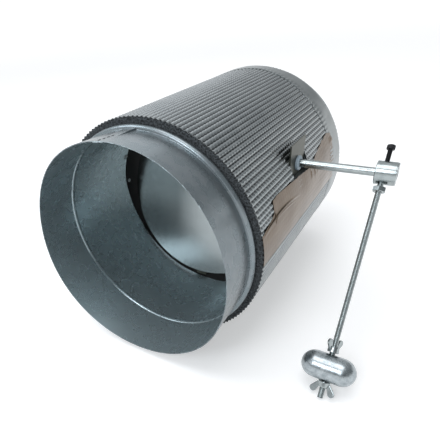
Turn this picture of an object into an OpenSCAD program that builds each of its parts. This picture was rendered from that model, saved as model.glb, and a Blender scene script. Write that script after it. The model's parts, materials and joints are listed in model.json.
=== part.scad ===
// Round insulated bypass damper with a weighted arm.
// The origin is the centre of the front collar, halfway along its straight wall.
// +Y runs along the duct to the rear, +X along the shaft to the arm, +Z is up.

/* [Duct tube] */
// Outside diameter of the tube and of both collars
tube_d = 254; // [220:1:300]
// Thickness of the sheet
wall_t = 0.7; // [0.5:0.1:1.2]
// Straight length of the front collar, from its open end to its bead
collar_l = 52; // [40:1:80]
// Straight length of the rear collar, from its bead to its open end
rear_collar_l = 28; // [26:1:60]
// Width of a bead along the tube
bead_w = 8; // [6:0.5:12]
// Height of a bead above the tube
bead_h = 4.5; // [2.5:0.5:6]
// Length of the tube between its two beads
body_l = 303.6; // [260:1:380]
// Width of the lap where the sheet's edges meet
lap_w = 12; // [8:1:20]

/* [Insulation] */
// Thickness of the foam sleeve
foam_t = 10.1; // [8:0.1:11]
// Thickness of the foil facing
foil_t = 0.7; // [0.4:0.1:1]
// Thickness of the foil tape
tape_t = 0.3; // [0.2:0.1:0.5]
// Width of the tape band round the rear end
band_w = 36; // [20:1:50]
// Width of the butt joint in the foam
joint_w = 0.8; // [0.4:0.1:2]

/* [Shaft] */
// Diameter of the shaft
shaft_d = 9.5; // [8:0.1:11]
// Height of the shaft above the tube's centre line
shaft_z = 57.6; // [45:0.1:60]
// Distance from the front end of the foam to the shaft
shaft_from_front = 136.3; // [120:0.1:160]
// Length of the shaft that stands out past a bracket's bush on the plain side
shaft_tail = 6; // [5:0.5:10]

/* [Brackets and bushes] */
// Thickness of a bracket's sheet
bracket_t = 1.5; // [1:0.1:2]
// Width of a bracket's plate, along the duct
plate_w = 50; // [40:1:60]
// Gap between a plate's lower edge and the tube
plate_gap = 1; // [0.5:0.1:3]
// Height of a plate above the shaft
plate_up = 27; // [20:1:30]
// Height of a plate below the shaft
plate_down = 19; // [16:0.5:19]
// Length of a foot past its leg
foot_l = 15; // [12:1:20]
// Diameter of a bush's flange
bush_d = 17.5; // [14:0.5:20]
// Diameter of a bush's barrel, in the plate
barrel_d = 13; // [12:0.5:13.5]
// Length of a bush's flange past the plate
bush_out = 4; // [3:0.5:6]
// Length of a bush's barrel behind the plate
bush_in = 1.2; // [0.8:0.1:1.5]
// Diameter of a bracket's rivet
rivet_d = 4; // [3:0.1:5]
// Diameter of a retaining ring
ring_d = 16; // [14:0.5:18]
// Thickness of a retaining ring
ring_t = 1; // [0.8:0.1:1.2]

/* [Blade] */
// Gap between the edge of a blade disc and the tube's wall
blade_gap = 4.8; // [4.5:0.1:8]
// Thickness of a blade disc
disc_t = 1; // [0.8:0.1:1.2]
// Thickness of the gasket between the discs
gasket_t = 2; // [1:0.1:3]
// Width of gasket that stands out past the discs
gasket_out = 1; // [0.5:0.1:1.5]
// Lean of the closed blade, its top towards the rear, in degrees
blade_tilt = 12; // [10:0.5:14]
// Distance from the blade's edge, along the shaft, to the middle of an outer strap
strap_inset = 32; // [24:1:50]
// Width of a strap, along the shaft
strap_w = 14; // [12:1:18]
// Thickness of a strap
strap_t = 1.6; // [1:0.1:2]
// Distance between the two bolts of a strap
bolt_pitch = 28; // [26:0.5:34]
// Diameter of a blade bolt
bolt_d = 5; // [4:0.1:5.5]

/* [Blade stops] */
// Width of a stop, round the wall
stop_w = 16; // [12:1:22]
// Thickness of a stop's sheet
stop_t = 1.5; // [1:0.1:2]
// Height of a stop above the wall
stop_h = 11; // [9:0.5:14]
// Length of a stop's foot along the wall
stop_l = 18; // [15:1:24]

/* [Arm] */
// Diameter of the hub
hub_d = 25.4; // [22:0.1:30]
// Length of the hub
hub_l = 21.4; // [20:0.1:26]
// Distance from the rod's centre line out to the hub's middle
hub_offset = 2.6; // [0:0.1:4]
// Free length of the shaft between the bush and the hub
shaft_free_l = 82.4; // [60:0.1:100]
// Slant of the arm from straight down, towards the front, in degrees
arm_tilt = 39; // [30:1:50]
// Diameter of the threaded rod
rod_d = 6.35; // [5.5:0.05:7]
// Distance from the shaft's centre line to the rod's lower end
rod_end = 253; // [245:1:280]
// Distance across the flats of the jam nut
jam_flats = 12.2; // [10.5:0.1:13]
// Thickness of the jam nut
jam_t = 5.6; // [4:0.1:7]
// Distance from the hub to the jam nut
jam_gap = 3.4; // [1:0.1:8]
// Diameter of the clamp screw
screw_d = 5; // [4:0.1:5]
// Diameter of the clamp screw's head
screw_head_d = 8.5; // [7.5:0.1:9]
// Height of the clamp screw's head
screw_head_h = 5; // [4:0.1:6]
// Length of the clamp screw that stands out of the hub, under its head
screw_proud = 13.6; // [8:0.1:16]

/* [Weight] */
// Diameter of the weight
weight_d = 30; // [26:0.5:36]
// Length of the weight from end to end
weight_l = 57; // [52:1:75]
// Distance from the shaft's centre line to the middle of the weight
weight_at = 219.5; // [180:0.5:221]
// Diameter of a wing nut's base
wing_base_d = 12.6; // [11:0.1:14]
// Height of a wing nut's base
wing_base_h = 6.5; // [5:0.1:8]
// Distance between the tips of a wing nut
wing_span = 27; // [24:0.5:32]
// Height of a wing nut with its wings
wing_h = 14.5; // [12:0.5:17]
// Thickness of a wing
wing_t = 2.4; // [2:0.1:3]
// Gap between the upper wing nut and the weight
wing_gap = 2.4; // [0.5:0.1:4]

/* [Hidden] */
$fn = 96;

// Overrun of every cut, running clearance on the radius, and gap between seated faces
over = wall_t;
run = wall_t / 14;
seat = wall_t / 7;

// Tube
tube_r = tube_d / 2;
bore_r = tube_r - wall_t;
front_y = -collar_l / 2;
foam_y = collar_l / 2 + bead_w;
rear_y = foam_y + body_l;
tube_l = collar_l + rear_collar_l + 2 * bead_w + body_l;
shaft_y = foam_y + shaft_from_front;
bead_r = (bead_h * bead_h + bead_w * bead_w / 4) / (2 * bead_h);
lap_angle = 93;

// Insulation
foam_in_r = tube_r + seat;
foam_r = foam_in_r + foam_t;
foil_in_r = foam_r + seat;
foil_r = foil_in_r + foil_t;
tape_in_r = foil_r + seat;
tape_r = tape_in_r + tape_t;
tape_low_angle = -2.2;
tape_high_angle = 19.6;
joint_angle = 8.6;

// Brackets
shaft_r = shaft_d / 2;
plate_top = shaft_z + plate_up;
plate_low = shaft_z - plate_down;
plate_in_x = sqrt(tube_r * tube_r - plate_low * plate_low) + plate_gap;
plate_x = plate_in_x + bracket_t;
leg_top = shaft_z;
leg_low = plate_low + bracket_t;
foot_in_r = tube_r + seat;
foot_r = foot_in_r + bracket_t;
foot_z = (leg_top + leg_low) / 2;
foot_angle = asin(foot_z / foot_r);
rivet_y = plate_w / 2 + foot_l / 2;
rivet_head_d = 1.8 * rivet_d;
rivet_head_h = 0.45 * rivet_d;
pocket_edge = 3 * bracket_t;
window_edge = bracket_t;
shaft_hole_r = shaft_r + 2 * bracket_t;

// Shaft
hub_x = plate_x + bush_out + shaft_free_l + hub_l / 2;
tail_x = -(plate_x + bush_out + shaft_tail);
tip_x = hub_x + hub_l / 2 - bracket_t;
arm_x = hub_x - hub_offset;
groove_depth = shaft_d / 12;
ring_in_x = plate_in_x - bush_in - seat - ring_t;
ring_out_x = plate_x + bush_out + seat;

// Blade
blade_r = bore_r - blade_gap;
gasket_r = blade_r + gasket_out;
disc_front_y = shaft_r + run;
disc_mid_y = disc_front_y + disc_t;
disc_back_y = disc_mid_y + gasket_t;
disc_rear_y = disc_back_y + disc_t;
bolt_head_h = 0.6 * bolt_d;
nut_h = 0.8 * bolt_d;
nut_flats = 1.6 * bolt_d;
saddle_r = shaft_r + run + strap_t;
strap_x = sqrt(blade_r * blade_r - shaft_z * shaft_z) - strap_inset;
strap_places = [-strap_x, 0, strap_x];

// Stops: three round the bottom, behind the blade, and two near the top, in front of it
low_stop_angles = [-90, -35, -145];
high_stop_angles = [62, 118];
stop_rivet_d = 0.8 * rivet_d;

// Arm
hub_r = hub_d / 2;
rod_r = rod_d / 2;
screw_r = screw_d / 2;
rod_start = shaft_r + 4 * seat;
jam_at = hub_r + jam_gap;
weight_r = weight_d / 2;
lower_nut_at = weight_at + weight_r + 2 * seat;
upper_nut_at = weight_at - weight_r - wing_gap;
thread_run = seat / 2;
upper_wing_turn = 64;
lower_wing_turn = 12;

// Colours
zinc = [0.70, 0.72, 0.73];
dull_zinc = [0.55, 0.58, 0.60];
foam_black = [0.07, 0.07, 0.08];
foil_grey = [0.62, 0.63, 0.65];
tape_grey = [0.66, 0.63, 0.60];
bush_grey = [0.66, 0.72, 0.75];
black_oxide = [0.05, 0.05, 0.06];
plated = [0.78, 0.80, 0.80];

// Children drawn along +Z are laid along the duct, starting at y
module along_duct(y = 0) {
    translate([0, y, 0]) rotate([-90, 0, 0]) children();
}

// Children drawn along +Z are laid along the shaft's direction, starting at x
module along_shaft(x = 0, y = 0, z = 0) {
    translate([x, y, z]) rotate([0, 90, 0]) children();
}

// Ring of sheet round the duct from one angle to another, angles from +X towards +Z
module duct_shell(r_in, r_out, y, l, from, to) {
    along_duct(y) rotate([0, 0, -to]) rotate_extrude(angle = to - from)
        translate([r_in, 0]) square([r_out - r_in, l]);
}

// Places children at an angle round the duct, with +X pointing outwards
module round_duct(angle, y) {
    translate([0, y, 0]) rotate([0, -angle, 0]) children();
}

// Frame of the blade: its origin on the shaft's centre line, +Z up the blade
module at_blade() {
    translate([0, shaft_y, shaft_z]) rotate([-blade_tilt, 0, 0]) children();
}

// Frame of the arm: its origin where the rod's line meets the shaft's, -Z down the rod
module at_arm() {
    translate([arm_x, shaft_y, shaft_z]) rotate([-arm_tilt, 0, 0]) children();
}

module mirror_side(side) {
    if (side > 0) children();
    else mirror([1, 0, 0]) children();
}

// Bead of the tube's outside, or of its groove when thinned by the sheet
module bead(y, thinner = 0) {
    along_duct(y + bead_w / 2) rotate_extrude()
        intersection() {
            translate([tube_r + bead_h - bead_r, 0]) circle(r = bead_r - thinner);
            translate([tube_r - bead_h, -bead_w / 2])
                square([2 * bead_h, bead_w]);
        }
}

module duct_tube() {
    color(dull_zinc) {
        difference() {
            union() {
                along_duct(front_y) cylinder(r = tube_r, h = tube_l);
                bead(foam_y - bead_w);
                bead(rear_y);
            }
            along_duct(front_y - over) cylinder(r = bore_r, h = tube_l + 2 * over);
            bead(foam_y - bead_w, wall_t);
            bead(rear_y, wall_t);
            along_shaft(-tube_d, shaft_y, shaft_z) cylinder(r = shaft_hole_r, h = 2 * tube_d);
            bracket_rivet_holes();
            stop_rivet_holes();
        }
        // Lap under the outer edge of the sheet
        lap = lap_w / bore_r * 180 / PI;
        duct_shell(bore_r - wall_t, bore_r + run, front_y, tube_l,
            lap_angle - lap / 2, lap_angle + lap / 2);
    }
}

// Room in the foam for a bracket's legs and feet, under the facing
module bracket_pocket(side) {
    depth = plate_x;
    wide = plate_w + 2 * foot_l + 2 * pocket_edge;
    mirror_side(side)
        translate([depth - foam_t - 4 * pocket_edge, shaft_y - wide / 2, plate_low - pocket_edge])
            cube([tube_r, wide, leg_top - plate_low + 2 * pocket_edge + bush_d / 2]);
}

// Slot in the facing for a bracket's plate, its bush and the shaft
module bracket_window(side) {
    wide = plate_w + 2 * window_edge;
    mirror_side(side)
        translate([plate_in_x - foam_t, shaft_y - wide / 2, plate_low + pocket_edge])
            cube([tube_r, wide, bush_d / 2 + plate_down]);
}

module foam_sleeve() {
    color(foam_black) difference() {
        along_duct(foam_y + seat) cylinder(r = foam_r, h = body_l - 2 * seat);
        along_duct(foam_y - over) cylinder(r = foam_in_r, h = body_l + 2 * over);
        for (side = [-1, 1]) bracket_pocket(side);
        round_duct(joint_angle, foam_y - over)
            translate([bore_r, 0, -joint_w / 2]) cube([foam_t + bead_h, body_l + 2 * over, joint_w]);
    }
}

module foil_facing() {
    color(foil_grey) difference() {
        along_duct(foam_y + seat) cylinder(r = foil_r, h = body_l - 2 * seat);
        along_duct(foam_y - over) cylinder(r = foil_in_r, h = body_l + 2 * over);
        for (side = [-1, 1]) bracket_window(side);
    }
}

module rear_tape_band() {
    color(tape_grey) difference() {
        along_duct(rear_y - seat - band_w) cylinder(r = tape_r, h = band_w);
        along_duct(rear_y - band_w - over) cylinder(r = tape_in_r, h = band_w + 2 * over);
    }
}

module seam_tape() {
    color(tape_grey)
        duct_shell(tape_in_r, tape_r, foam_y + seat, body_l - band_w - 3 * seat,
            tape_low_angle, tape_high_angle);
}

// Bracket: a plate square to the shaft on two short legs, with feet that lie on the tube
module bracket(side) {
    low_z = plate_low;
    mirror_side(side) difference() {
        union() {
            translate([plate_in_x, shaft_y - plate_w / 2, low_z])
                cube([bracket_t, plate_w, plate_up + plate_down]);
            difference() {
                for (way = [-1, 1])
                    translate([0, shaft_y + way * (plate_w / 2 - bracket_t / 2) - bracket_t / 2, leg_low])
                        cube([plate_in_x, bracket_t, leg_top - leg_low]);
                along_duct(shaft_y - plate_w) cylinder(r = foot_in_r, h = 2 * plate_w);
            }
            intersection() {
                difference() {
                    along_duct(shaft_y - plate_w / 2 - foot_l) cylinder(r = foot_r, h = plate_w + 2 * foot_l);
                    along_duct(shaft_y - plate_w) cylinder(r = foot_in_r, h = 2 * plate_w);
                    translate([0, shaft_y - plate_w / 2 + bracket_t, -tube_r])
                        cube([tube_d, plate_w - 2 * bracket_t, tube_d]);
                }
                translate([0, shaft_y - plate_w, leg_low]) cube([tube_d, 2 * plate_w, leg_top - leg_low]);
            }
        }
        along_shaft(0, shaft_y, shaft_z) cylinder(r = barrel_d / 2 + run, h = tube_d);
        for (way = [-1, 1])
            round_duct(foot_angle, shaft_y + way * rivet_y)
                along_shaft(tube_r - over) cylinder(d = rivet_d + 2 * run, h = 2 * foam_t);
    }
}

module near_bracket() {
    color(zinc) bracket(1);
}

module far_bracket() {
    color(zinc) bracket(-1);
}

module bracket_rivet_holes() {
    for (side = [-1, 1])
        for (way = [-1, 1])
            mirror_side(side) round_duct(foot_angle, shaft_y + way * rivet_y)
                along_shaft(bore_r - bead_h) cylinder(d = rivet_d + 2 * run, h = 2 * bead_h);
}

// Rivet drawn along +X from its formed end inside to its head outside, or to a flush end
module rivet(d, grip_from, grip_to, flush = false) {
    head_d = rivet_head_d / rivet_d * d;
    head_h = rivet_head_h / rivet_d * d;
    along_shaft(grip_from) cylinder(d = d, h = grip_to - grip_from);
    if (!flush) along_shaft(grip_to) cylinder(d = head_d, h = head_h);
    along_shaft(grip_from - head_h) cylinder(d = head_d, h = head_h);
}

module bracket_rivets() {
    color(plated) for (side = [-1, 1])
        for (way = [-1, 1])
            mirror_side(side) round_duct(foot_angle, shaft_y + way * rivet_y)
                rivet(rivet_d, bore_r - seat, foot_r + seat);
}

module bush(side) {
    mirror_side(side) difference() {
        union() {
            along_shaft(plate_x + seat, shaft_y, shaft_z) cylinder(d = bush_d, h = bush_out - seat);
            along_shaft(plate_in_x - bush_in, shaft_y, shaft_z)
                cylinder(d = barrel_d, h = bush_in + bracket_t + 2 * seat);
        }
        along_shaft(0, shaft_y, shaft_z) cylinder(r = shaft_r + run, h = tube_d);
    }
}

module near_bush() {
    color(bush_grey) bush(1);
}

module far_bush() {
    color(bush_grey) bush(-1);
}

// One stop: a lug that leans as the blade does, and a foot along the wall.
// It stands behind the blade when way is 1, and in front of it when way is -1.
module stop(angle, way) {
    face_y = way > 0 ? disc_rear_y + 2 * seat : disc_front_y - 2 * seat - stop_t;
    lug_y = edge_y(angle) + (way > 0 ? disc_rear_y : disc_front_y) * cos(blade_tilt);
    intersection() {
        at_blade() translate([-tube_r, face_y, -tube_d]) cube([tube_d, stop_t, 2 * tube_d]);
        stop_sector(angle, stop_h);
    }
    intersection() {
        stop_sector(angle, stop_t);
        translate([-tube_r, lug_y + (way > 0 ? stop_t : -stop_l), -tube_r])
            cube([tube_d, stop_l - stop_t, tube_d]);
    }
}

// Slice of the wall's inner face, as wide as a stop and as high as asked
module stop_sector(angle, high) {
    intersection() {
        difference() {
            along_duct(front_y) cylinder(r = bore_r - seat, h = tube_l);
            along_duct(front_y - over) cylinder(r = bore_r - seat - high, h = tube_l + 2 * over);
        }
        round_duct(angle, front_y) translate([0, 0, -stop_w / 2]) cube([tube_r, tube_l, stop_w]);
    }
}

// Place along the duct where the blade's middle plane meets the wall at an angle
function edge_y(angle) = shaft_y + (bore_r * sin(angle) - shaft_z) * tan(blade_tilt);

function stop_rivet_y(angle, way) =
    edge_y(angle) + (way > 0 ? disc_rear_y : disc_front_y) * cos(blade_tilt) + way * (stop_l + stop_t) / 2;

module blade_stops() {
    color(zinc) difference() {
        union() {
            for (a = low_stop_angles) stop(a, 1);
            for (a = high_stop_angles) stop(a, -1);
        }
        stop_rivet_holes();
    }
}

module stop_rivet_hole(angle, way) {
    round_duct(angle, stop_rivet_y(angle, way)) along_shaft(bore_r - bead_h)
        cylinder(d = stop_rivet_d + 2 * run, h = 2 * bead_h);
}

module stop_rivet_holes() {
    for (a = low_stop_angles) stop_rivet_hole(a, 1);
    for (a = high_stop_angles) stop_rivet_hole(a, -1);
}

module stop_rivets() {
    inner = bore_r - seat - stop_t - seat;
    color(plated) {
        for (a = low_stop_angles)
            round_duct(a, stop_rivet_y(a, 1)) rivet(stop_rivet_d, inner, tube_r, true);
        for (a = high_stop_angles)
            round_duct(a, stop_rivet_y(a, -1)) rivet(stop_rivet_d, inner, tube_r, true);
    }
}

module shaft() {
    color(plated) difference() {
        along_shaft(tail_x, shaft_y, shaft_z) cylinder(d = shaft_d, h = tip_x - tail_x);
        for (x = [ring_in_x, -ring_out_x - ring_t])
            along_shaft(x - seat, shaft_y, shaft_z) difference() {
                cylinder(d = shaft_d + over, h = ring_t + 2 * seat);
                translate([0, 0, -over]) cylinder(r = shaft_r - groove_depth, h = ring_t + 3 * over);
            }
    }
}

// Retaining ring: a washer with an open side, seated in a groove of the shaft
module retaining_ring(x) {
    color(black_oxide) along_shaft(x, shaft_y, shaft_z) difference() {
        cylinder(d = ring_d, h = ring_t);
        translate([0, 0, -over]) cylinder(r = shaft_r - groove_depth + run, h = ring_t + 2 * over);
        translate([0, -shaft_r + groove_depth, -over])
            cube([ring_d, shaft_d - 2 * groove_depth, ring_t + 2 * over]);
    }
}

module near_retaining_ring() {
    retaining_ring(ring_in_x);
}

module far_retaining_ring() {
    retaining_ring(-ring_out_x - ring_t);
}

// Disc of the blade in the blade's frame, its rear face at y and its centre below the shaft
module blade_layer(r, y_front, t) {
    difference() {
        translate([0, 0, -shaft_z]) along_duct(y_front) cylinder(r = r, h = t);
        bolt_holes(y_front - over, t + 2 * over);
    }
}

module bolt_holes(y, l) {
    for (x = strap_places)
        for (way = [-1, 1])
            translate([x, 0, way * bolt_pitch / 2]) along_duct(y) cylinder(d = bolt_d + 2 * run, h = l);
}

module front_blade_disc() {
    color(dull_zinc) at_blade() blade_layer(blade_r, disc_front_y, disc_t - run);
}

module blade_gasket() {
    color(foam_black) at_blade() blade_layer(gasket_r, disc_mid_y, gasket_t - run);
}

module rear_blade_disc() {
    color(dull_zinc) at_blade() blade_layer(blade_r, disc_back_y, disc_t);
}

// Straps that saddle the shaft on the front disc
module blade_straps() {
    tab_y = disc_front_y - seat;
    color(zinc) at_blade() difference() {
        for (x = strap_places) {
            translate([x - strap_w / 2, 0, 0]) intersection() {
                union() {
                    along_shaft() cylinder(r = saddle_r, h = strap_w);
                    translate([0, 0, -saddle_r]) cube([strap_w, tab_y, 2 * saddle_r]);
                }
                translate([0, tab_y - 2 * saddle_r, -saddle_r]) cube([strap_w, 2 * saddle_r, 2 * saddle_r]);
            }
            translate([x - strap_w / 2, tab_y - strap_t, -bolt_pitch / 2 - strap_w / 2])
                cube([strap_w, strap_t, bolt_pitch + strap_w]);
        }
        along_shaft(-tube_r) cylinder(r = shaft_r + run, h = tube_d);
        translate([-tube_r, 0, -shaft_r - run]) cube([tube_d, tab_y + over, shaft_d + 2 * run]);
        bolt_holes(tab_y - strap_t - over, strap_t + 2 * over);
    }
}

module blade_bolts() {
    from = disc_front_y - seat - strap_t - nut_h - bolt_d / 2;
    to = disc_rear_y + seat;
    color(plated) at_blade() for (x = strap_places)
        for (way = [-1, 1])
            translate([x, 0, way * bolt_pitch / 2]) {
                along_duct(from) cylinder(d = bolt_d, h = to - from);
                along_duct(to) cylinder(d = nut_flats, h = bolt_head_h);
            }
}

module hex_nut(flats, bore, t) {
    difference() {
        cylinder(d = flats / cos(30), h = t, $fn = 6);
        translate([0, 0, -over]) cylinder(d = bore, h = t + 2 * over);
    }
}

module blade_nuts() {
    at = disc_front_y - strap_t - 2 * seat - nut_h;
    color(plated) at_blade() for (x = strap_places)
        for (way = [-1, 1])
            translate([x, 0, way * bolt_pitch / 2]) along_duct(at)
                hex_nut(nut_flats, bolt_d + 2 * thread_run, nut_h);
}

module arm_hub() {
    edge = hub_l / 28;
    color(plated) at_arm() difference() {
        along_shaft(hub_offset - hub_l / 2) {
            cylinder(r1 = hub_r - edge, r2 = hub_r, h = edge);
            translate([0, 0, edge]) cylinder(r = hub_r, h = hub_l - 2 * edge);
            translate([0, 0, hub_l - edge]) cylinder(r1 = hub_r, r2 = hub_r - edge, h = edge);
        }
        along_shaft(-hub_l) cylinder(r = shaft_r + run, h = 2 * hub_l);
        translate([0, 0, -hub_d]) cylinder(r = rod_r + thread_run, h = hub_d);
        cylinder(r = screw_r + thread_run, h = hub_d);
    }
}

module clamp_screw() {
    tip = shaft_r + 2 * seat;
    head = hub_r + screw_proud;
    color(black_oxide) at_arm() difference() {
        union() {
            translate([0, 0, tip]) cylinder(r = screw_r, h = head - tip);
            translate([0, 0, head]) cylinder(d = screw_head_d, h = screw_head_h);
        }
        translate([0, 0, head + screw_head_h / 2])
            cylinder(d = 0.8 * screw_d / cos(30), h = screw_head_h, $fn = 6);
    }
}

module threaded_rod() {
    chamfer = rod_r / 4;
    color(plated) at_arm() rotate_extrude()
        polygon([[0, -rod_end], [rod_r - chamfer, -rod_end], [rod_r, -rod_end + chamfer],
            [rod_r, -rod_start], [0, -rod_start]]);
}

module jam_nut() {
    color(plated) at_arm() translate([0, 0, -jam_at - jam_t])
        hex_nut(jam_flats, rod_d + 2 * thread_run, jam_t);
}

// Wing nut with its flat base at z = 0 and its wings upwards
module wing_nut(turn) {
    foot_share = 0.42;
    tip_r = wing_h / 4;
    top_r = rod_r + wing_t / 2;
    wing_facets = 32;
    rotate([0, 0, turn]) difference() {
        union() {
            cylinder(d1 = wing_base_d, d2 = 0.86 * wing_base_d, h = wing_base_h);
            rotate([90, 0, 0]) translate([0, 0, -wing_t / 2]) linear_extrude(height = wing_t)
                for (way = [-1, 1])
                    hull() {
                        translate([way * (wing_span / 2 - tip_r), wing_h - tip_r])
                            circle(r = tip_r, $fn = wing_facets);
                        translate([way * wing_base_d * foot_share, wing_base_h / 2])
                            circle(r = wing_base_h / 3, $fn = wing_facets);
                        translate([way * top_r, wing_base_h / 2])
                            circle(r = wing_t / 2, $fn = wing_facets);
                    }
        }
        translate([0, 0, -over]) cylinder(r = rod_r + thread_run, h = wing_h + 2 * over);
    }
}

module upper_wing_nut() {
    color(plated) at_arm() translate([0, 0, -upper_nut_at]) wing_nut(upper_wing_turn);
}

module lower_wing_nut() {
    color(plated) at_arm() translate([0, 0, -lower_nut_at]) rotate([180, 0, 0]) wing_nut(lower_wing_turn);
}

module weight() {
    barrel_l = weight_l - weight_d;
    mouth = rod_r / 1.5;
    color(plated) at_arm() translate([0, 0, -weight_at]) difference() {
        union() {
            along_shaft(-barrel_l / 2) cylinder(r = weight_r, h = barrel_l);
            for (way = [-1, 1]) translate([way * barrel_l / 2, 0, 0]) rotate([0, 90, 0]) sphere(r = weight_r);
        }
        translate([0, 0, -weight_d]) cylinder(r = rod_r + 5 * thread_run, h = 2 * weight_d);
        for (end = [0, 1]) mirror([0, 0, end]) translate([0, 0, weight_r - rod_r])
            cylinder(r1 = rod_r, r2 = rod_r + mouth, h = 2 * mouth);
    }
}

duct_tube();
foam_sleeve();
foil_facing();
rear_tape_band();
seam_tape();
near_bracket();
far_bracket();
bracket_rivets();
near_bush();
far_bush();
blade_stops();
stop_rivets();
shaft();
near_retaining_ring();
far_retaining_ring();
front_blade_disc();
blade_gasket();
rear_blade_disc();
blade_straps();
blade_bolts();
blade_nuts();
arm_hub();
clamp_screw();
threaded_rod();
jam_nut();
upper_wing_nut();
weight();
lower_wing_nut();
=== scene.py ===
"""Looks of a round insulated bypass damper with a weighted arm, built round its CAD frame."""

import json
import logging
import math
from collections.abc import Callable, Sequence
from dataclasses import dataclass, field, replace
from enum import Enum
from itertools import product

import bmesh
import bpy
import numpy as np
from mathutils import Matrix, Vector, noise

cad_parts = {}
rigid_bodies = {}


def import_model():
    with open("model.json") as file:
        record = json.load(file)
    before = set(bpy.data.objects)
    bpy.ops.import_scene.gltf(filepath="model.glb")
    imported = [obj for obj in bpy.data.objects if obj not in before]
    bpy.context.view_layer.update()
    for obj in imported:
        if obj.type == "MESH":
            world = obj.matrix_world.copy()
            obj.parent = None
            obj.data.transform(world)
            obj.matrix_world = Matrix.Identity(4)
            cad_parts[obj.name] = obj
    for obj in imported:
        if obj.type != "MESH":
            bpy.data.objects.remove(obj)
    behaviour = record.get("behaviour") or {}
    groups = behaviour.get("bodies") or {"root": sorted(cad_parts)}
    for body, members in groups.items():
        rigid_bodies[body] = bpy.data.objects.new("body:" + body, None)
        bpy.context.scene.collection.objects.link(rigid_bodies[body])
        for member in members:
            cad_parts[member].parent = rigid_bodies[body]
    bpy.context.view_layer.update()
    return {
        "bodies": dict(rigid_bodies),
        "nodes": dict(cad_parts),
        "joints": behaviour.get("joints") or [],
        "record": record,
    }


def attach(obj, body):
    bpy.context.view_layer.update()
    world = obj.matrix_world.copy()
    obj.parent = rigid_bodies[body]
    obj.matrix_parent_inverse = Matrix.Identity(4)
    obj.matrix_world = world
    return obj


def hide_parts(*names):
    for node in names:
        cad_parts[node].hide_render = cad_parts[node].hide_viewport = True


LOG = logging.getLogger("bypass_damper")
MM = 0.001
TURN = 2 * math.pi
Socket = bpy.types.NodeSocket | bpy.types.Node | float | int | bool | Sequence[float]
Rule = Callable[[float, float], float]
MATH = "ShaderNodeMath"
# Depth and harshness of the detail in clouds
CLOUD_DETAIL = {"Detail": 4.0, "Roughness": 0.6}
# Half the spread of a pattern about its middle, which a contrast of 1 stretches to the full range
HALF_SPREAD = 0.25
# Distance in metres below which points are welded
WELD = 2e-6
# Angle in degrees above which an edge of most pieces stays sharp
CREASE = 35.0
# Radius in millimetres of the foil, at which the tapes' patterns are laid flat
FLAT_R = 137.3
# Steps in the arc that rounds a corner of a profile, and how far it may reach along a side
ARC_STEPS = 4
ARC_REACH = 0.49
# What a place is multiplied by to drop its part along the duct
OFF_AXIS = (1, 0, 1)


class Body(Enum):
    """Rigid bodies that pieces ride on."""

    HOUSING = "housing"
    BLADE = "blade"
    ARM = "arm"
    CLAMP_SCREW = "clamp_screw"
    JAM_NUT = "jam_nut"
    WEIGHT = "weight"
    UPPER_WING_NUT = "upper_wing_nut"
    LOWER_WING_NUT = "lower_wing_nut"


class Pattern(Enum):
    """Kinds of variation over a surface."""

    CLOUDS = "ShaderNodeTexNoise"
    CELLS = "ShaderNodeTexVoronoi"


def linear(code: str) -> tuple[float, float, float, float]:
    """Turns an sRGB hex colour to linear RGBA.

    Args:
        code: six hex digits, such as "8c9193".

    Returns:
        Linear red, green, blue and an alpha of 1.
    """
    parts = [int(code[i : i + 2], 16) / 255 for i in (0, 2, 4)]
    red, green, blue = (p / 12.92 if p <= 0.04045 else ((p + 0.055) / 1.055) ** 2.4 for p in parts)
    return red, green, blue, 1.0


def add(
    tree: bpy.types.NodeTree, kind: str, inputs: dict[int | str, Socket] | None = None, **settings: object
) -> bpy.types.Node:
    """Adds a node with its settings and links.

    Args:
        tree: node tree to add it to.
        kind: Blender's name of the node's type.
        inputs: values, sockets, or nodes whose first output is linked, by input name or number.
        **settings: properties of the node.

    Returns:
        The new node.
    """
    made = tree.nodes.new(kind)
    for name, value in settings.items():
        setattr(made, name, value)
    for name, value in (inputs or {}).items():
        if isinstance(value, bpy.types.Node):
            tree.links.new(value.outputs[0], made.inputs[name])
        elif isinstance(value, bpy.types.NodeSocket):
            tree.links.new(value, made.inputs[name])
        else:
            made.inputs[name].default_value = value
    return made


# Finishes


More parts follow.
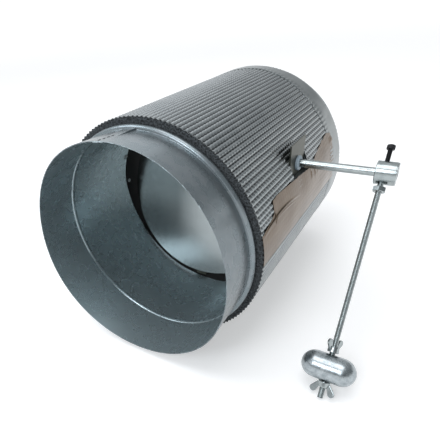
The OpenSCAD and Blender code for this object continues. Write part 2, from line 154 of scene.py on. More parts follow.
@dataclass(frozen=True)
class Finish:
    """A surface: its base, a coarse pattern that varies it and a fine one that roughens it."""

    name: str
    colour: str
    second: str
    metallic: float
    roughness: tuple[float, float]
    coarse_mm: tuple[float, float, float]
    fine_mm: tuple[float, float, float]
    bump_mm: float
    coarse: Pattern = Pattern.CLOUDS
    fine: Pattern = Pattern.CLOUDS
    contrast: float = 1.0

    def texture(self, tree: bpy.types.NodeTree, kind: Pattern, size_mm: tuple[float, float, float]) -> Socket:
        """Lays a pattern of a real size over the piece.

        Args:
            tree: the material's tree.
            kind: clouds or cells.
            size_mm: size of the pattern's features along X, Y and Z.

        Returns:
            The socket that carries the pattern, from 0 to 1.
        """
        place = add(tree, "ShaderNodeTexCoord").outputs["Object"]
        scale = [1 / (s * MM) for s in size_mm]
        scaled = add(tree, "ShaderNodeMapping", {"Vector": place, "Scale": scale})
        if kind is Pattern.CLOUDS:
            made = add(tree, kind.value, {"Vector": scaled, "Scale": 1.0, **CLOUD_DETAIL})
            return made.outputs[0]
        made = add(tree, kind.value, {"Vector": scaled, "Scale": 1.0})
        split = add(tree, "ShaderNodeSeparateColor", {0: made.outputs["Color"]})
        return split.outputs[0]

    def height(self, tree: bpy.types.NodeTree) -> Socket:
        """Gives the fine relief, from 0 to 1."""
        return self.texture(tree, self.fine, self.fine_mm)

    def shade(self, tree: bpy.types.NodeTree, tint: Socket) -> Socket:
        """Gives the base colour, here the tint as it is."""
        return tint

    def material(self) -> bpy.types.Material:
        """Makes the material, or returns the one made before.

        Returns:
            The finish's material.
        """
        known = bpy.data.materials.get(self.name)
        if known:
            return known
        made = bpy.data.materials.new(self.name)
        made.use_nodes = True
        tree = made.node_tree
        tree.nodes.clear()
        varied = self.texture(tree, self.coarse, self.coarse_mm)
        reach = HALF_SPREAD / self.contrast
        spread = add(tree, "ShaderNodeMapRange", {0: varied, 1: 0.5 - reach, 2: 0.5 + reach})
        colours = {6: linear(self.colour), 7: linear(self.second)}
        tint = add(tree, "ShaderNodeMix", {0: spread, **colours}, data_type="RGBA")
        rough = add(tree, "ShaderNodeMapRange", {0: spread, 3: self.roughness[0], 4: self.roughness[1]})
        relief = add(tree, "ShaderNodeBump", {"Distance": self.bump_mm * MM, "Height": self.height(tree)})
        base = self.shade(tree, tint.outputs[2])
        surface = {"Base Color": base, "Metallic": self.metallic, "Roughness": rough, "Normal": relief}
        shader = add(tree, "ShaderNodeBsdfPrincipled", surface)
        add(tree, "ShaderNodeOutputMaterial", {0: shader})
        made.diffuse_color = linear(self.colour)
        return made


@dataclass(frozen=True)
class TapeFinish(Finish):
    """Foil tape pressed on an embossed sheet, whose dots show through it."""

    dots: tuple[float, float] = (5.78, 6.07)

    def height(self, tree: bpy.types.NodeTree) -> Socket:
        """Gives the fine relief with the faint dots that show through.

        Args:
            tree: the material's tree.

        Returns:
            The socket that carries the relief.
        """
        rolled = add(tree, "ShaderNodeAttribute", attribute_name="roll")
        apart = add(tree, "ShaderNodeSeparateXYZ", {0: rolled.outputs["Vector"]})
        waves = []
        for axis, pitch in enumerate(self.dots):
            angle = add(tree, MATH, {0: apart.outputs[axis], 1: TURN / pitch}, operation="MULTIPLY")
            waves.append(add(tree, MATH, {0: angle}, operation="COSINE"))
        both = add(tree, MATH, {0: waves[0], 1: waves[1]}, operation="ADD")
        shown = add(tree, MATH, {0: both, 1: apart.outputs[2]}, operation="MULTIPLY")
        grain = self.texture(tree, self.fine, self.fine_mm)
        total = add(tree, MATH, {0: shown, 1: grain}, operation="ADD")
        return total.outputs[0]


@dataclass(frozen=True)
class EmbossFinish(Finish):
    """Embossed foil whose hollows are painted dark, as painted shade."""

    # Colour of the painted shade in the hollows, and the radii over which it fades into the tint
    hollow: str = "2e3133"
    shaded_hollow_r: tuple[float, float] = (137.4, 138.1)

    def shade(self, tree: bpy.types.NodeTree, tint: Socket) -> Socket:
        """Darkens the tint in the hollows, where the sheet lies nearer to the duct's axis, as painted shade.

        Args:
            tree: the material's tree.
            tint: the tint before it.

        Returns:
            The socket that carries the base colour.
        """
        place = add(tree, "ShaderNodeTexCoord").outputs["Object"]
        flat = add(tree, "ShaderNodeVectorMath", {0: place, 1: OFF_AXIS}, operation="MULTIPLY")
        reach = add(tree, "ShaderNodeVectorMath", {0: flat}, operation="LENGTH")
        low, high = self.shaded_hollow_r
        rise = add(tree, "ShaderNodeMapRange", {0: reach.outputs["Value"], 1: low * MM, 2: high * MM})
        mixed = add(tree, "ShaderNodeMix", {0: rise, 6: linear(self.hollow), 7: tint}, data_type="RGBA")
        return mixed.outputs[2]


@dataclass(frozen=True)
class DuctFinish(Finish):
    """Zinc-coated sheet whose inner face is painted paler, as painted light inside the duct."""

    # Paler colour of the inner face: painted light that brightens the duct's inside
    inside: str = "a9b7bb"

    def shade(self, tree: bpy.types.NodeTree, tint: Socket) -> Socket:
        """Paints light on the tint where the sheet faces the duct's axis, with a paler colour.

        Args:
            tree: the material's tree.
            tint: the tint before it.

        Returns:
            The socket that carries the base colour.
        """
        place = add(tree, "ShaderNodeTexCoord").outputs
        flat = add(tree, "ShaderNodeVectorMath", {0: place["Object"], 1: OFF_AXIS}, operation="MULTIPLY")
        side = add(tree, "ShaderNodeVectorMath", {0: flat, 1: place["Normal"]}, operation="DOT_PRODUCT")
        inner = add(tree, MATH, {0: side.outputs["Value"], 1: 0.0}, operation="LESS_THAN")
        mixed = add(tree, "ShaderNodeMix", {0: inner, 6: tint, 7: linear(self.inside)}, data_type="RGBA")
        return mixed.outputs[2]


# Hot-dip galvanised sheet: soft blue-grey zinc with faint spangle, painted paler on its inside as painted
# light
GALVANISED = DuctFinish(
    name="hot_dip_galvanised", colour="7f898d", second="878f93", metallic=0.75, roughness=(0.27, 0.28),
    coarse_mm=(9, 9, 9), fine_mm=(18, 70, 18), bump_mm=0.06, coarse=Pattern.CELLS,
)
# Rolled zinc-coated blade sheet: smoother, with long faint rolling marks
BLADE_SHEET = Finish(
    name="rolled_blade_sheet", colour="939a9b", second="a1a8a9", metallic=1.0, roughness=(0.20, 0.28),
    coarse_mm=(40, 40, 90), fine_mm=(60, 60, 8), bump_mm=0.05,
)
# Closed-cell rubber foam, cut across: dead black with grey specks where cells are opened
FOAM = Finish(
    name="cut_black_foam", colour="050607", second="565b5e", metallic=0.0, roughness=(0.85, 1.0),
    coarse_mm=(1.9, 1.9, 1.9), fine_mm=(2.0, 2.0, 2.0), bump_mm=0.8, contrast=2.2,
)
# Aluminium foil laminate, embossed by rollers, with fine crinkles; its hollows are painted dark as painted
# shade between the crests
EMBOSSED_FOIL = EmbossFinish(
    name="embossed_aluminium_foil", colour="8f9597", second="a6abac", metallic=1.0,
    roughness=(0.20, 0.30), coarse_mm=(30, 30, 30), fine_mm=(2.2, 2.2, 2.2), bump_mm=0.06,
)
# Aluminium foil tape, pressed down by hand: mirror-like, with soft waves; its warm brown colour is a painted
# reflection
SEAM_TAPE = TapeFinish(
    name="pressed_foil_tape", colour="605346", second="746657", metallic=1.0, roughness=(0.16, 0.26),
    coarse_mm=(22, 45, 22), fine_mm=(7, 26, 7), bump_mm=0.35,
)
# The same tape wound round the rear end, with the dots showing faintly
BAND_TAPE = TapeFinish(
    name="banded_foil_tape", colour="888d8e", second="9a9f9f", metallic=1.0, roughness=(0.26, 0.36),
    coarse_mm=(25, 25, 25), fine_mm=(9, 9, 9), bump_mm=0.25,
)
# Yellow-passivated zinc on the pressed brackets, dulled
BRACKET_STEEL = Finish(
    name="passivated_bracket", colour="4c4e48", second="5f6057", metallic=1.0, roughness=(0.34, 0.46),
    coarse_mm=(9, 9, 9), fine_mm=(0.8, 6, 0.8), bump_mm=0.01,
)
# Moulded acetal of the bushes: pale blue-grey, slightly soft
BUSH_PLASTIC = Finish(
    name="moulded_bush", colour="93a5b0", second="a5b5be", metallic=0.0, roughness=(0.42, 0.52),
    coarse_mm=(5, 5, 5), fine_mm=(0.8, 0.8, 0.8), bump_mm=0.01,
)
# Bright zinc plate on turned and drawn steel: clear reflections, faintly clouded
ZINC_PLATE = Finish(
    name="bright_zinc_plate", colour="949b9c", second="b0b7b7", metallic=1.0, roughness=(0.18, 0.28),
    coarse_mm=(6, 6, 6), fine_mm=(5, 5, 5), bump_mm=0.01,
)
# Polished cast weight, plated: soft mirror with shallow ripples
POLISHED_WEIGHT = Finish(
    name="polished_weight", colour="848c90", second="bcc3c6", metallic=1.0, roughness=(0.22, 0.32),
    coarse_mm=(6, 6, 6), fine_mm=(3.2, 3.2, 3.2), bump_mm=0.07,
)
# Chemically blackened alloy steel: near black with a soft sheen
BLACK_OXIDE = Finish(
    name="black_oxide_steel", colour="0d0e10", second="1b1c1f", metallic=0.4, roughness=(0.36, 0.5),
    coarse_mm=(3, 3, 3), fine_mm=(0.7, 0.7, 0.7), bump_mm=0.01,
)
# Moulded rubber of the blade's gasket: matt black; the same black paints the shade on the wall band round the
# blade
GASKET_AND_SHADE_BLACK = Finish(
    name="gasket_rubber_and_painted_shade", colour="060607", second="0d0e0f", metallic=0.0, roughness=(0.85, 0.95),
    coarse_mm=(6, 6, 6), fine_mm=(1, 1, 1), bump_mm=0.05,
)
# Aluminium blind rivets: soft bright metal
RIVET_METAL = Finish(
    name="blind_rivet_aluminium", colour="8f9495", second="a7abac", metallic=1.0, roughness=(0.3, 0.42),
    coarse_mm=(3, 3, 3), fine_mm=(1, 1, 1), bump_mm=0.02,
)
# Near black dashes along the lap: painted shade in the lap's gaps
LAP_SHADE_MARK = Finish(
    name="painted_lap_shade", colour="0e1011", second="1f2325", metallic=0.0, roughness=(0.7, 0.9),
    coarse_mm=(2, 2, 2), fine_mm=(1, 1, 1), bump_mm=0.05,
)


# Shapes


@dataclass
class Shape:
    """Points in millimetres and the faces that join them."""

    points: np.ndarray
    faces: list[tuple[int, ...]]
    roll: np.ndarray | None = None

    def placed(self, frame: Matrix) -> "Shape":
        """Moves the shape.

        Args:
            frame: matrix in millimetres.

        Returns:
            The moved shape.
        """
        turn = np.array(frame.to_3x3())
        return replace(self, points=self.points @ turn.T + np.array(frame.translation))

    def joined(self, other: "Shape") -> "Shape":
        """Puts two shapes in one.

        Args:
            other: shape to add.

        Returns:
            Both shapes as one.
        """
        shift = len(self.points)
        faces = self.faces + [tuple(i + shift for i in f) for f in other.faces]
        return Shape(np.vstack([self.points, other.points]), faces)

    def piece(self, name: str, crease: float = CREASE) -> bpy.types.Object:
        """Makes an object of the shape.

        Args:
            name: the object's name.
            crease: angle in degrees above which an edge stays sharp.

        Returns:
            The new object, with its place in its mesh.
        """
        mesh = bpy.data.meshes.new(name)
        mesh.from_pydata((self.points * MM).tolist(), [], self.faces)
        if self.roll is not None:
            mesh.attributes.new("roll", "FLOAT_VECTOR", "POINT").data.foreach_set(
                "vector", self.roll.astype(np.float32).ravel()
            )
        tidy(mesh, crease)
        return placed_in_scene(name, mesh)


def placed_in_scene(name: str, data: bpy.types.ID) -> bpy.types.Object:
    """Puts a new object in the scene, at the origin.

    Args:
        name: the object's name.
        data: its mesh, camera or lamp.

    Returns:
        The object.
    """
    made = bpy.data.objects.new(name, data)
    bpy.context.scene.collection.objects.link(made)
    return made


def smooth(mesh: bpy.types.Mesh, crease: float) -> None:
    """Smooths a mesh but for its sharp edges.

    Args:
        mesh: mesh to change.
        crease: angle in degrees above which an edge stays sharp.
    """
    mesh.shade_smooth()
    mesh.set_sharp_from_angle(angle=math.radians(crease))


def tidy(mesh: bpy.types.Mesh, crease: float) -> None:
    """Welds a mesh, turns its faces outwards and smooths all but its sharp edges.

    Args:
        mesh: mesh to change.
        crease: angle in degrees above which an edge stays sharp.
    """
    work = bmesh.new()
    work.from_mesh(mesh)
    bmesh.ops.remove_doubles(work, verts=work.verts, dist=WELD)
    bmesh.ops.recalc_face_normals(work, faces=work.faces)
    work.to_mesh(mesh)
    work.free()
    smooth(mesh, crease)


def bake(host: bpy.types.Object) -> bpy.types.Mesh:
    """Turns an object with modifiers into one with a plain mesh.

    Args:
        host: the object, which loses its modifiers.

    Returns:
        Its new mesh.
    """
    graph = bpy.context.evaluated_depsgraph_get()
    mesh = bpy.data.meshes.new_from_object(
        host.evaluated_get(graph), preserve_all_data_layers=True, depsgraph=graph
    )
    host.modifiers.clear()
    host.data = mesh
    return mesh


def in_metres(frame: Matrix) -> Matrix:
    """Gives a frame in millimetres as one in metres."""
    real = frame.copy()
    real.translation = frame.translation * MM
    return real


@dataclass(frozen=True)
class Corner:
    """A corner of a turned profile: radius, place along the axis, and how it is rounded."""

    r: float
    z: float
    fillet: float = 0.0
    rule: Rule | None = None


def mirrored(corners: Sequence[Corner]) -> list[Corner]:
    """Gives a profile's other half, in the order that carries on from the first."""
    return [Corner(c.r, -c.z) for c in reversed(corners)]


def corner_radius(flats: float) -> float:
    """Gives the radius that the corners of a hexagon reach."""
    return flats / 2 / math.cos(TURN / 12)


def hexagon(flats: float, inside: bool = False) -> Rule:
    """Gives the rule of a six-sided section.

    Args:
        flats: distance across the flats.
        inside: true for a socket, whose corners reach out to the hexagon.

    Returns:
        A rule from radius and angle to radius.
    """

    def rule(r: float, angle: float) -> float:
        """Limits a radius to the hexagon."""
        side = flats / 2 / math.cos((angle + TURN / 12) % (TURN / 6) - TURN / 12)
        return side if inside else min(r, side)

    return rule


def knurl(count: int, depth: float) -> Rule:
    """Gives the rule of a straight knurl.

    Args:
        count: number of ridges.
        depth: depth of the grooves between them.

    Returns:
        A rule from radius and angle to radius.
    """
    return lambda r, angle: r - depth * (0.5 + 0.5 * math.cos(count * angle))


def rounded(corners: Sequence[Corner], closed: bool) -> list[Corner]:
    """Replaces each corner that has a fillet by an arc.

    Args:
        corners: the profile's corners in order.
        closed: true where the last corner joins the first.

    Returns:
        The profile's points.
    """
    made: list[Corner] = []
    for i, c in enumerate(corners):
        if c.fillet <= 0 or (not closed and i in (0, len(corners) - 1)):
            made.append(c)
            continue
        before, after = corners[i - 1], corners[(i + 1) % len(corners)]
        here = Vector((c.r, c.z))
        a, b = (Vector((o.r, o.z)) - here for o in (before, after))
        reach = min(c.fillet / math.tan(a.angle(b) / 2), a.length * ARC_REACH, b.length * ARC_REACH)
        start, end = here + a.normalized() * reach, here + b.normalized() * reach
        for k in range(ARC_STEPS + 1):
            t = k / ARC_STEPS
            at = start.lerp(here, t).lerp(here.lerp(end, t), t)
            made.append(Corner(at.x, at.y, 0.0, c.rule))
    return made


def lathe(corners: Sequence[Corner], segments: int = 64, closed: bool = False) -> Shape:
    """Turns a profile about the Z axis.

    Args:
        corners: the profile, from axis to axis, or a loop if closed.
        segments: number of steps round the axis.
        closed: true for a ring with a bore.

    Returns:
        The turned shape.
    """
    points: list[tuple[float, float, float]] = []
    rows: list[list[int]] = []
    for c in rounded(corners, closed):
        if c.r <= 0:
            rows.append([len(points)] * segments)
            points.append((0.0, 0.0, c.z))
            continue
        rows.append(list(range(len(points), len(points) + segments)))
        for s in range(segments):
            angle = TURN * s / segments
            r = c.rule(c.r, angle) if c.rule else c.r
            points.append((r * math.cos(angle), r * math.sin(angle), c.z))
    if closed:
        rows.append(rows[0])
    faces = []
    for low, high in zip(rows, rows[1:]):
        for s in range(segments):
            t = (s + 1) % segments
            ring = list(dict.fromkeys((low[s], low[t], high[t], high[s])))
            if len(ring) > 2:
                faces.append(tuple(ring))
    return Shape(np.array(points), faces)


def round_grid(n: int, m: int) -> tuple[np.ndarray, np.ndarray]:
    """Lays out a grid of points that goes all the way round the duct.

    Args:
        n: number of points round it.
        m: number of points across the sheet.

    Returns:
        Each point's angle in degrees, and each row's share of the way across.
    """
    angle = np.repeat(np.arange(n)[:, None] * 360.0 / n, m, 1)
    return angle, np.linspace(0, 1, m)[None, :]


def rolled_sheet(
    angle: np.ndarray,
    station: np.ndarray,
    radius: np.ndarray,
    thickness: float | np.ndarray,
    round_it: bool,
    show: np.ndarray,
) -> Shape:
    """Lays a thin closed sheet round the duct's axis.

    Args:
        angle: angle in degrees from +X towards +Z, for a grid of points.
        station: place along Y of the same grid.
        radius: distance of the sheet's outer face from the axis, for the same grid.
        thickness: thickness of the sheet.
        round_it: true where the grid's first index goes all the way round.
        show: how much the dots below show through, for the same grid.

    Returns:
        The sheet, with its flat measures kept for its material.
    """
    a = np.radians(angle)
    layers = [
        np.stack([r * np.cos(a), station, r * np.sin(a)], -1).reshape(-1, 3)
        for r in (radius, radius - thickness)
    ]
    flat = np.stack([a * FLAT_R, station, show], -1).reshape(-1, 3)
    n, m = angle.shape
    size = n * m
    faces: list[tuple[int, ...]] = []

    def at(i: int, j: int) -> int:
        """Gives the number of a grid point."""
        return (i % n) * m + j

    across = n if round_it else n - 1
    for i in range(across):
        for j in range(m - 1):
            ring = (at(i, j), at(i + 1, j), at(i + 1, j + 1), at(i, j + 1))
            faces.append(ring)
            faces.append(tuple(size + k for k in reversed(ring)))
        for j in (0, m - 1):
            faces.append((at(i, j), at(i + 1, j), size + at(i + 1, j), size + at(i, j)))
    if not round_it:
        for i in (0, n - 1):
            for j in range(m - 1):
                faces.append((at(i, j), at(i, j + 1), size + at(i, j + 1), size + at(i, j)))
    return Shape(np.vstack(layers), faces, np.vstack([flat, flat]))


# Trees of nodes that make repeated shapes


def new_tree(name: str, inputs: dict[str, str]) -> tuple[bpy.types.NodeTree, bpy.types.bpy_prop_collection]:
    """Starts a geometry tree.

    Args:
        name: the tree's name.
        inputs: socket type of each named input.

    Returns:
        The tree and its inputs' sockets by name.
    """
    tree = bpy.data.node_groups.new(name, "GeometryNodeTree")
    tree.interface.new_socket("Geometry", in_out="OUTPUT", socket_type="NodeSocketGeometry")
    for label, kind in inputs.items():
        tree.interface.new_socket(label, in_out="INPUT", socket_type=kind)
    return tree, add(tree, "NodeGroupInput").outputs


def unit_grid(
    tree: bpy.types.NodeTree, columns: Socket, rows: Socket
) -> tuple[Socket, bpy.types.Node, bpy.types.Node]:
    """Starts a flat grid, one metre each way, for a tree to bend into shape.

    Args:
        tree: the tree.
        columns: number of points across.
        rows: number of points along.

    Returns:
        The grid, and every point's share of the way across and along it.
    """
    grid = add(tree, "GeometryNodeMeshGrid", {0: 1.0, 1: 1.0, "Vertices X": columns, "Vertices Y": rows})
    spot = add(tree, "ShaderNodeSeparateXYZ", {0: add(tree, "GeometryNodeInputPosition")})
    across, along = (add(tree, MATH, {0: spot.outputs[k], 1: 0.5}, operation="ADD") for k in (0, 1))
    return grid.outputs["Mesh"], across, along


def finish_tree(tree: bpy.types.NodeTree, geometry: Socket, material: Socket) -> bpy.types.NodeTree:
    """Ends a geometry tree with real meshes and a material.

    Args:
        tree: the tree.
        geometry: what it has made.
        material: its material.

    Returns:
        The same tree.
    """
    real = add(tree, "GeometryNodeRealizeInstances", {0: geometry})
    dressed = add(tree, "GeometryNodeSetMaterial", {0: real, "Material": material})
    add(tree, "NodeGroupOutput", {0: dressed})
    return tree


def finish_round(
    tree: bpy.types.NodeTree, grid: Socket, polar: tuple[Socket, Socket, Socket], axis: int, material: Socket
) -> bpy.types.NodeTree:
    """Winds a grid round an axis, welds it and ends the tree.

    Args:
        tree: the tree.
        grid: the grid.
        polar: every point's share of a turn, its radius and its place along the axis.
        axis: 1 to wind round Y, 2 to wind round Z.
        material: its material.

    Returns:
        The same tree.
    """
    share, radius, along = polar
    angle = add(tree, MATH, {0: share, 1: TURN}, operation="MULTIPLY")
    flat = []
    for operation in ("COSINE", "SINE"):
        way = add(tree, MATH, {0: angle}, operation=operation)
        flat.append(add(tree, MATH, {0: way, 1: radius}, operation="MULTIPLY"))
    place = add(tree, "ShaderNodeCombineXYZ", {0: flat[0], 3 - axis: flat[1], axis: along})
    bent = add(tree, "GeometryNodeSetPosition", {"Geometry": grid, "Position": place})
    welded = add(tree, "GeometryNodeMergeByDistance", {"Geometry": bent, "Distance": WELD})
    return finish_tree(tree, welded, material)


def grown(
    name: str,
    tree: bpy.types.NodeTree,
    values: dict[str, object],
    seed: Shape | None = None,
    crease: float = CREASE,
) -> bpy.types.Object:
    """Runs a geometry tree and keeps its result as a plain mesh.

    Args:
        name: name of the new object.
        tree: tree to run.
        values: value of each named input.
        seed: points that the tree works on, if any.
        crease: angle in degrees above which an edge stays sharp.

    Returns:
        The object, with no modifier.
    """
    mesh = bpy.data.meshes.new(name)
    if seed is not None:
        mesh.from_pydata((seed.points * MM).tolist(), [], [])
        mesh.attributes.new("aim", "FLOAT_VECTOR", "POINT").data.foreach_set(
            "vector", seed.roll.astype(np.float32).ravel()
        )
    host = placed_in_scene(name, mesh)
    step = host.modifiers.new("Grow", "NODES")
    step.node_group = tree
    for item in tree.interface.items_tree:
        if item.in_out == "INPUT" and item.name in values:
            step[item.identifier] = values[item.name]
    made = bake(host)
    made.name = name
    tidy(made, crease)
    return host


class Trees:
    """The geometry trees, and the values that their shapes rest on."""

    ROWS_A_TURN = 4
    FIRST_TURN = -1.0
    FLANK = (-0.3, 0.6)
    SAME = 1e-7
    END_ROWS = 3
    HALF_ROW = 0.5
    GROOVE_POWER = 2.0
    DIP_START = TURN / 3

    @classmethod
    def thread(cls) -> bpy.types.NodeTree:
        """Makes a screw thread along +Z by winding a grid round the axis, its end rows drawn in to the axis.

        Returns:
            The tree, whose inputs are Radius, Depth, Pitch, Length, Rows, Segments and Material.
        """
        sizes = dict.fromkeys(("Radius", "Depth", "Pitch", "Length"), "NodeSocketFloat")
        counts = dict.fromkeys(("Rows", "Segments"), "NodeSocketInt")
        tree, given = new_tree("screw_thread", {**sizes, **counts, "Material": "NodeSocketMaterial"})
        grid, u, v = unit_grid(tree, given["Segments"], given["Rows"])
        last = add(tree, MATH, {0: given["Rows"], 1: 1.0}, operation="SUBTRACT")
        row = add(tree, MATH, {0: v, 1: last}, operation="MULTIPLY")
        counted = {0: row, 1: 1 / cls.ROWS_A_TURN, 2: cls.FIRST_TURN}
        turns = add(tree, MATH, counted, operation="MULTIPLY_ADD")
        wound = add(tree, MATH, {0: turns, 1: u}, operation="ADD")
        free = add(tree, MATH, {0: wound, 1: given["Pitch"]}, operation="MULTIPLY")
        low = add(tree, MATH, {0: free, 1: 0.0}, operation="MAXIMUM")
        z = add(tree, MATH, {0: low, 1: given["Length"]}, operation="MINIMUM")
        angle = add(tree, MATH, {0: turns, 1: TURN}, operation="MULTIPLY")
        wave = add(tree, MATH, {0: angle}, operation="COSINE")
        share = add(tree, "ShaderNodeMapRange", {0: wave, 1: cls.FLANK[0], 2: cls.FLANK[1]})
        cut = add(tree, MATH, {0: share, 1: given["Depth"]}, operation="MULTIPLY")
        full = add(tree, MATH, {0: given["Radius"], 1: cut}, operation="SUBTRACT")
        off = add(tree, MATH, {0: free, 1: z}, operation="SUBTRACT")
        gap = add(tree, MATH, {0: off}, operation="ABSOLUTE")
        inside = add(tree, MATH, {0: gap, 1: cls.SAME}, operation="LESS_THAN")
        r = add(tree, MATH, {0: full, 1: inside}, operation="MULTIPLY")
        return finish_round(tree, grid, (u, r, z), 2, given["Material"])

    @classmethod
    def embossed_sleeve(cls) -> bpy.types.NodeTree:
        """Makes a closed sleeve along +Y, its outer face pressed in rows of dots.

        Returns:
            The tree, whose inputs are Radius, Thickness, Start, Length, Rows Round, Rows Along, Height,
            Dip Share, Grid Round, Grid Along and Material.
        """
        lengths = ("Radius", "Thickness", "Start", "Length", "Height")
        sizes = dict.fromkeys((*lengths, "Rows Round", "Rows Along", "Dip Share"), "NodeSocketFloat")
        counts = dict.fromkeys(("Grid Round", "Grid Along"), "NodeSocketInt")
        tree, given = new_tree("embossed_sleeve", {**sizes, **counts, "Material": "NodeSocketMaterial"})
        grid, u, v = unit_grid(tree, given["Grid Round"], given["Grid Along"])
        last = add(tree, MATH, {0: given["Grid Along"], 1: 1.0}, operation="SUBTRACT")
        index = add(tree, MATH, {0: v, 1: last}, operation="MULTIPLY")
        steps = add(tree, MATH, {0: last, 1: cls.END_ROWS}, operation="SUBTRACT")
        past = add(tree, MATH, {0: index, 1: 1.0}, operation="SUBTRACT")
        ramp = add(tree, MATH, {0: past, 1: steps}, operation="DIVIDE")
        w = add(tree, "ShaderNodeClamp", {0: ramp, 1: 0.0, 2: 1.0})
        back, inner_end = (
            add(
                tree,
                MATH,
                {0: index, 1: add(tree, MATH, {0: last, 1: rows + cls.HALF_ROW}, operation="SUBTRACT")},
                operation="GREATER_THAN",
            )
            for rows in (0, 1)
        )
        forth = add(tree, MATH, {0: 1.0, 1: back}, operation="SUBTRACT")
        along = add(tree, MATH, {0: w, 1: forth}, operation="MULTIPLY")
        inner_start = add(tree, MATH, {0: index, 1: cls.HALF_ROW}, operation="LESS_THAN")
        inner = add(tree, MATH, {0: inner_end, 1: inner_start}, operation="MAXIMUM")

        def groove(share: Socket, rows: Socket, start: float) -> bpy.types.Node:
            """Gives narrow grooves, 1 at their bottom, between so many rows."""
            turned = add(tree, MATH, {0: share, 1: TURN}, operation="MULTIPLY")
            angle = add(tree, MATH, {0: turned, 1: rows, 2: start}, operation="MULTIPLY_ADD")
            wave = add(tree, MATH, {0: angle}, operation="COSINE")
            hollow = add(tree, MATH, {0: wave, 1: 0.5, 2: 0.5}, operation="MULTIPLY_ADD")
            return add(tree, MATH, {0: hollow, 1: cls.GROOVE_POWER}, operation="POWER")

        round_it = groove(u, given["Rows Round"], TURN / 2)
        ridge = add(tree, MATH, {0: 1.0, 1: round_it}, operation="SUBTRACT")
        across = groove(w, given["Rows Along"], cls.DIP_START)
        dip = add(tree, MATH, {0: across, 1: given["Dip Share"]}, operation="MULTIPLY")
        crest = add(tree, MATH, {0: 1.0, 1: dip}, operation="SUBTRACT")
        share = add(tree, MATH, {0: ridge, 1: crest}, operation="MULTIPLY")
        raised = add(tree, MATH, {0: share, 1: given["Height"]}, operation="MULTIPLY")
        sunk = add(tree, MATH, {0: inner, 1: given["Thickness"]}, operation="MULTIPLY")
        shift = add(tree, MATH, {0: raised, 1: sunk}, operation="SUBTRACT")
        r = add(tree, MATH, {0: given["Radius"], 1: shift}, operation="ADD")
        placed = {0: along, 1: given["Length"], 2: given["Start"]}
        y = add(tree, MATH, placed, operation="MULTIPLY_ADD")
        return finish_round(tree, grid, (u, r, y), 1, given["Material"])

    @staticmethod
    def copies() -> bpy.types.NodeTree:
        """Puts a copy of one piece on every point, its +Z along the point's aim.

        Returns:
            The tree, whose inputs are Points, Piece and Material.
        """
        kinds = {"Points": "Geometry", "Piece": "Object", "Material": "Material"}
        tree, given = new_tree("copies", {name: f"NodeSocket{kind}" for name, kind in kinds.items()})
        aim = add(tree, "GeometryNodeInputNamedAttribute", {"Name": "aim"}, data_type="FLOAT_VECTOR")
        turned = add(tree, "FunctionNodeAlignRotationToVector", {"Vector": aim.outputs[0]}, axis="Z")
        piece = add(tree, "GeometryNodeObjectInfo", {0: given["Piece"], 1: True}).outputs["Geometry"]
        laid = {"Points": given["Points"], "Instance": piece, "Rotation": turned}
        put = add(tree, "GeometryNodeInstanceOnPoints", laid)
        return finish_tree(tree, put, given["Material"])


def copied(
    name: str, part: Shape, finish: Finish, places: Sequence[tuple[Vector, Vector]]
) -> bpy.types.Object:
    """Repeats a small part at several places.

    Args:
        name: name of the new object.
        part: the part, drawn along +Z.
        finish: its finish.
        places: point and direction of every copy.

    Returns:
        One object with all the copies.
    """
    model = part.piece(name + "_model")
    spots = Shape(np.array([p[:] for p, _ in places]), [], np.array([d[:] for _, d in places]))
    made = grown(name, Trees.copies(), {"Piece": model, "Material": finish.material()}, spots)
    bpy.data.objects.remove(model)
    return made


def dress(made: bpy.types.Object, finish: Finish, slot: str, body: Body, *nodes: str) -> None:
    """Gives a piece its finish, its body and the CAD nodes that it stands for.

    Args:
        made: the piece.
        finish: its finish.
        slot: the record's material slot, not used.
        body: body that it rides on.
        *nodes: names of the CAD nodes that it replaces.
    """
    made.data.materials.clear()
    made.data.materials.append(finish.material())
    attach(made, body.value)
    if nodes:
        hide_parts(*nodes)
    LOG.info("%s: %d faces", made.name, len(made.data.polygons))


def coat(nodes: dict[str, bpy.types.Object], finish: Finish, *names: str) -> None:
    """Gives CAD nodes that keep their shape a finish.

    Args:
        nodes: the frame's nodes.
        finish: their finish.
        *names: names of the nodes.
    """
    for name in names:
        mesh = nodes[name].data
        mesh.materials.clear()
        mesh.materials.append(finish.material())
        LOG.info("%s: kept, with %s", name, finish.name)


def carve(made: bpy.types.Object, cutter: Shape, crease: float) -> None:
    """Cuts a shape out of a piece.

    Args:
        made: the piece.
        cutter: closed shape to take away.
        crease: angle in degrees above which an edge stays sharp.
    """
    tool = cutter.piece("cutter")
    step = made.modifiers.new("Cut", "BOOLEAN")
    step.operation = "DIFFERENCE"
    step.solver = "MANIFOLD"
    step.object = tool
    mesh = bake(made)
    bpy.data.objects.remove(tool)
    smooth(mesh, crease)


def block(low: Sequence[float], high: Sequence[float]) -> Shape:
    """Makes a box for cutting.

    Args:
        low: lowest corner.
        high: highest corner.

    Returns:
        The box.
    """
    points = np.array(list(product(*zip(low, high))))
    return Shape(points, [(0, 1, 3, 2), (4, 6, 7, 5), (0, 4, 5, 1), (2, 3, 7, 6), (0, 2, 6, 4), (1, 5, 7, 3)])


# The damper


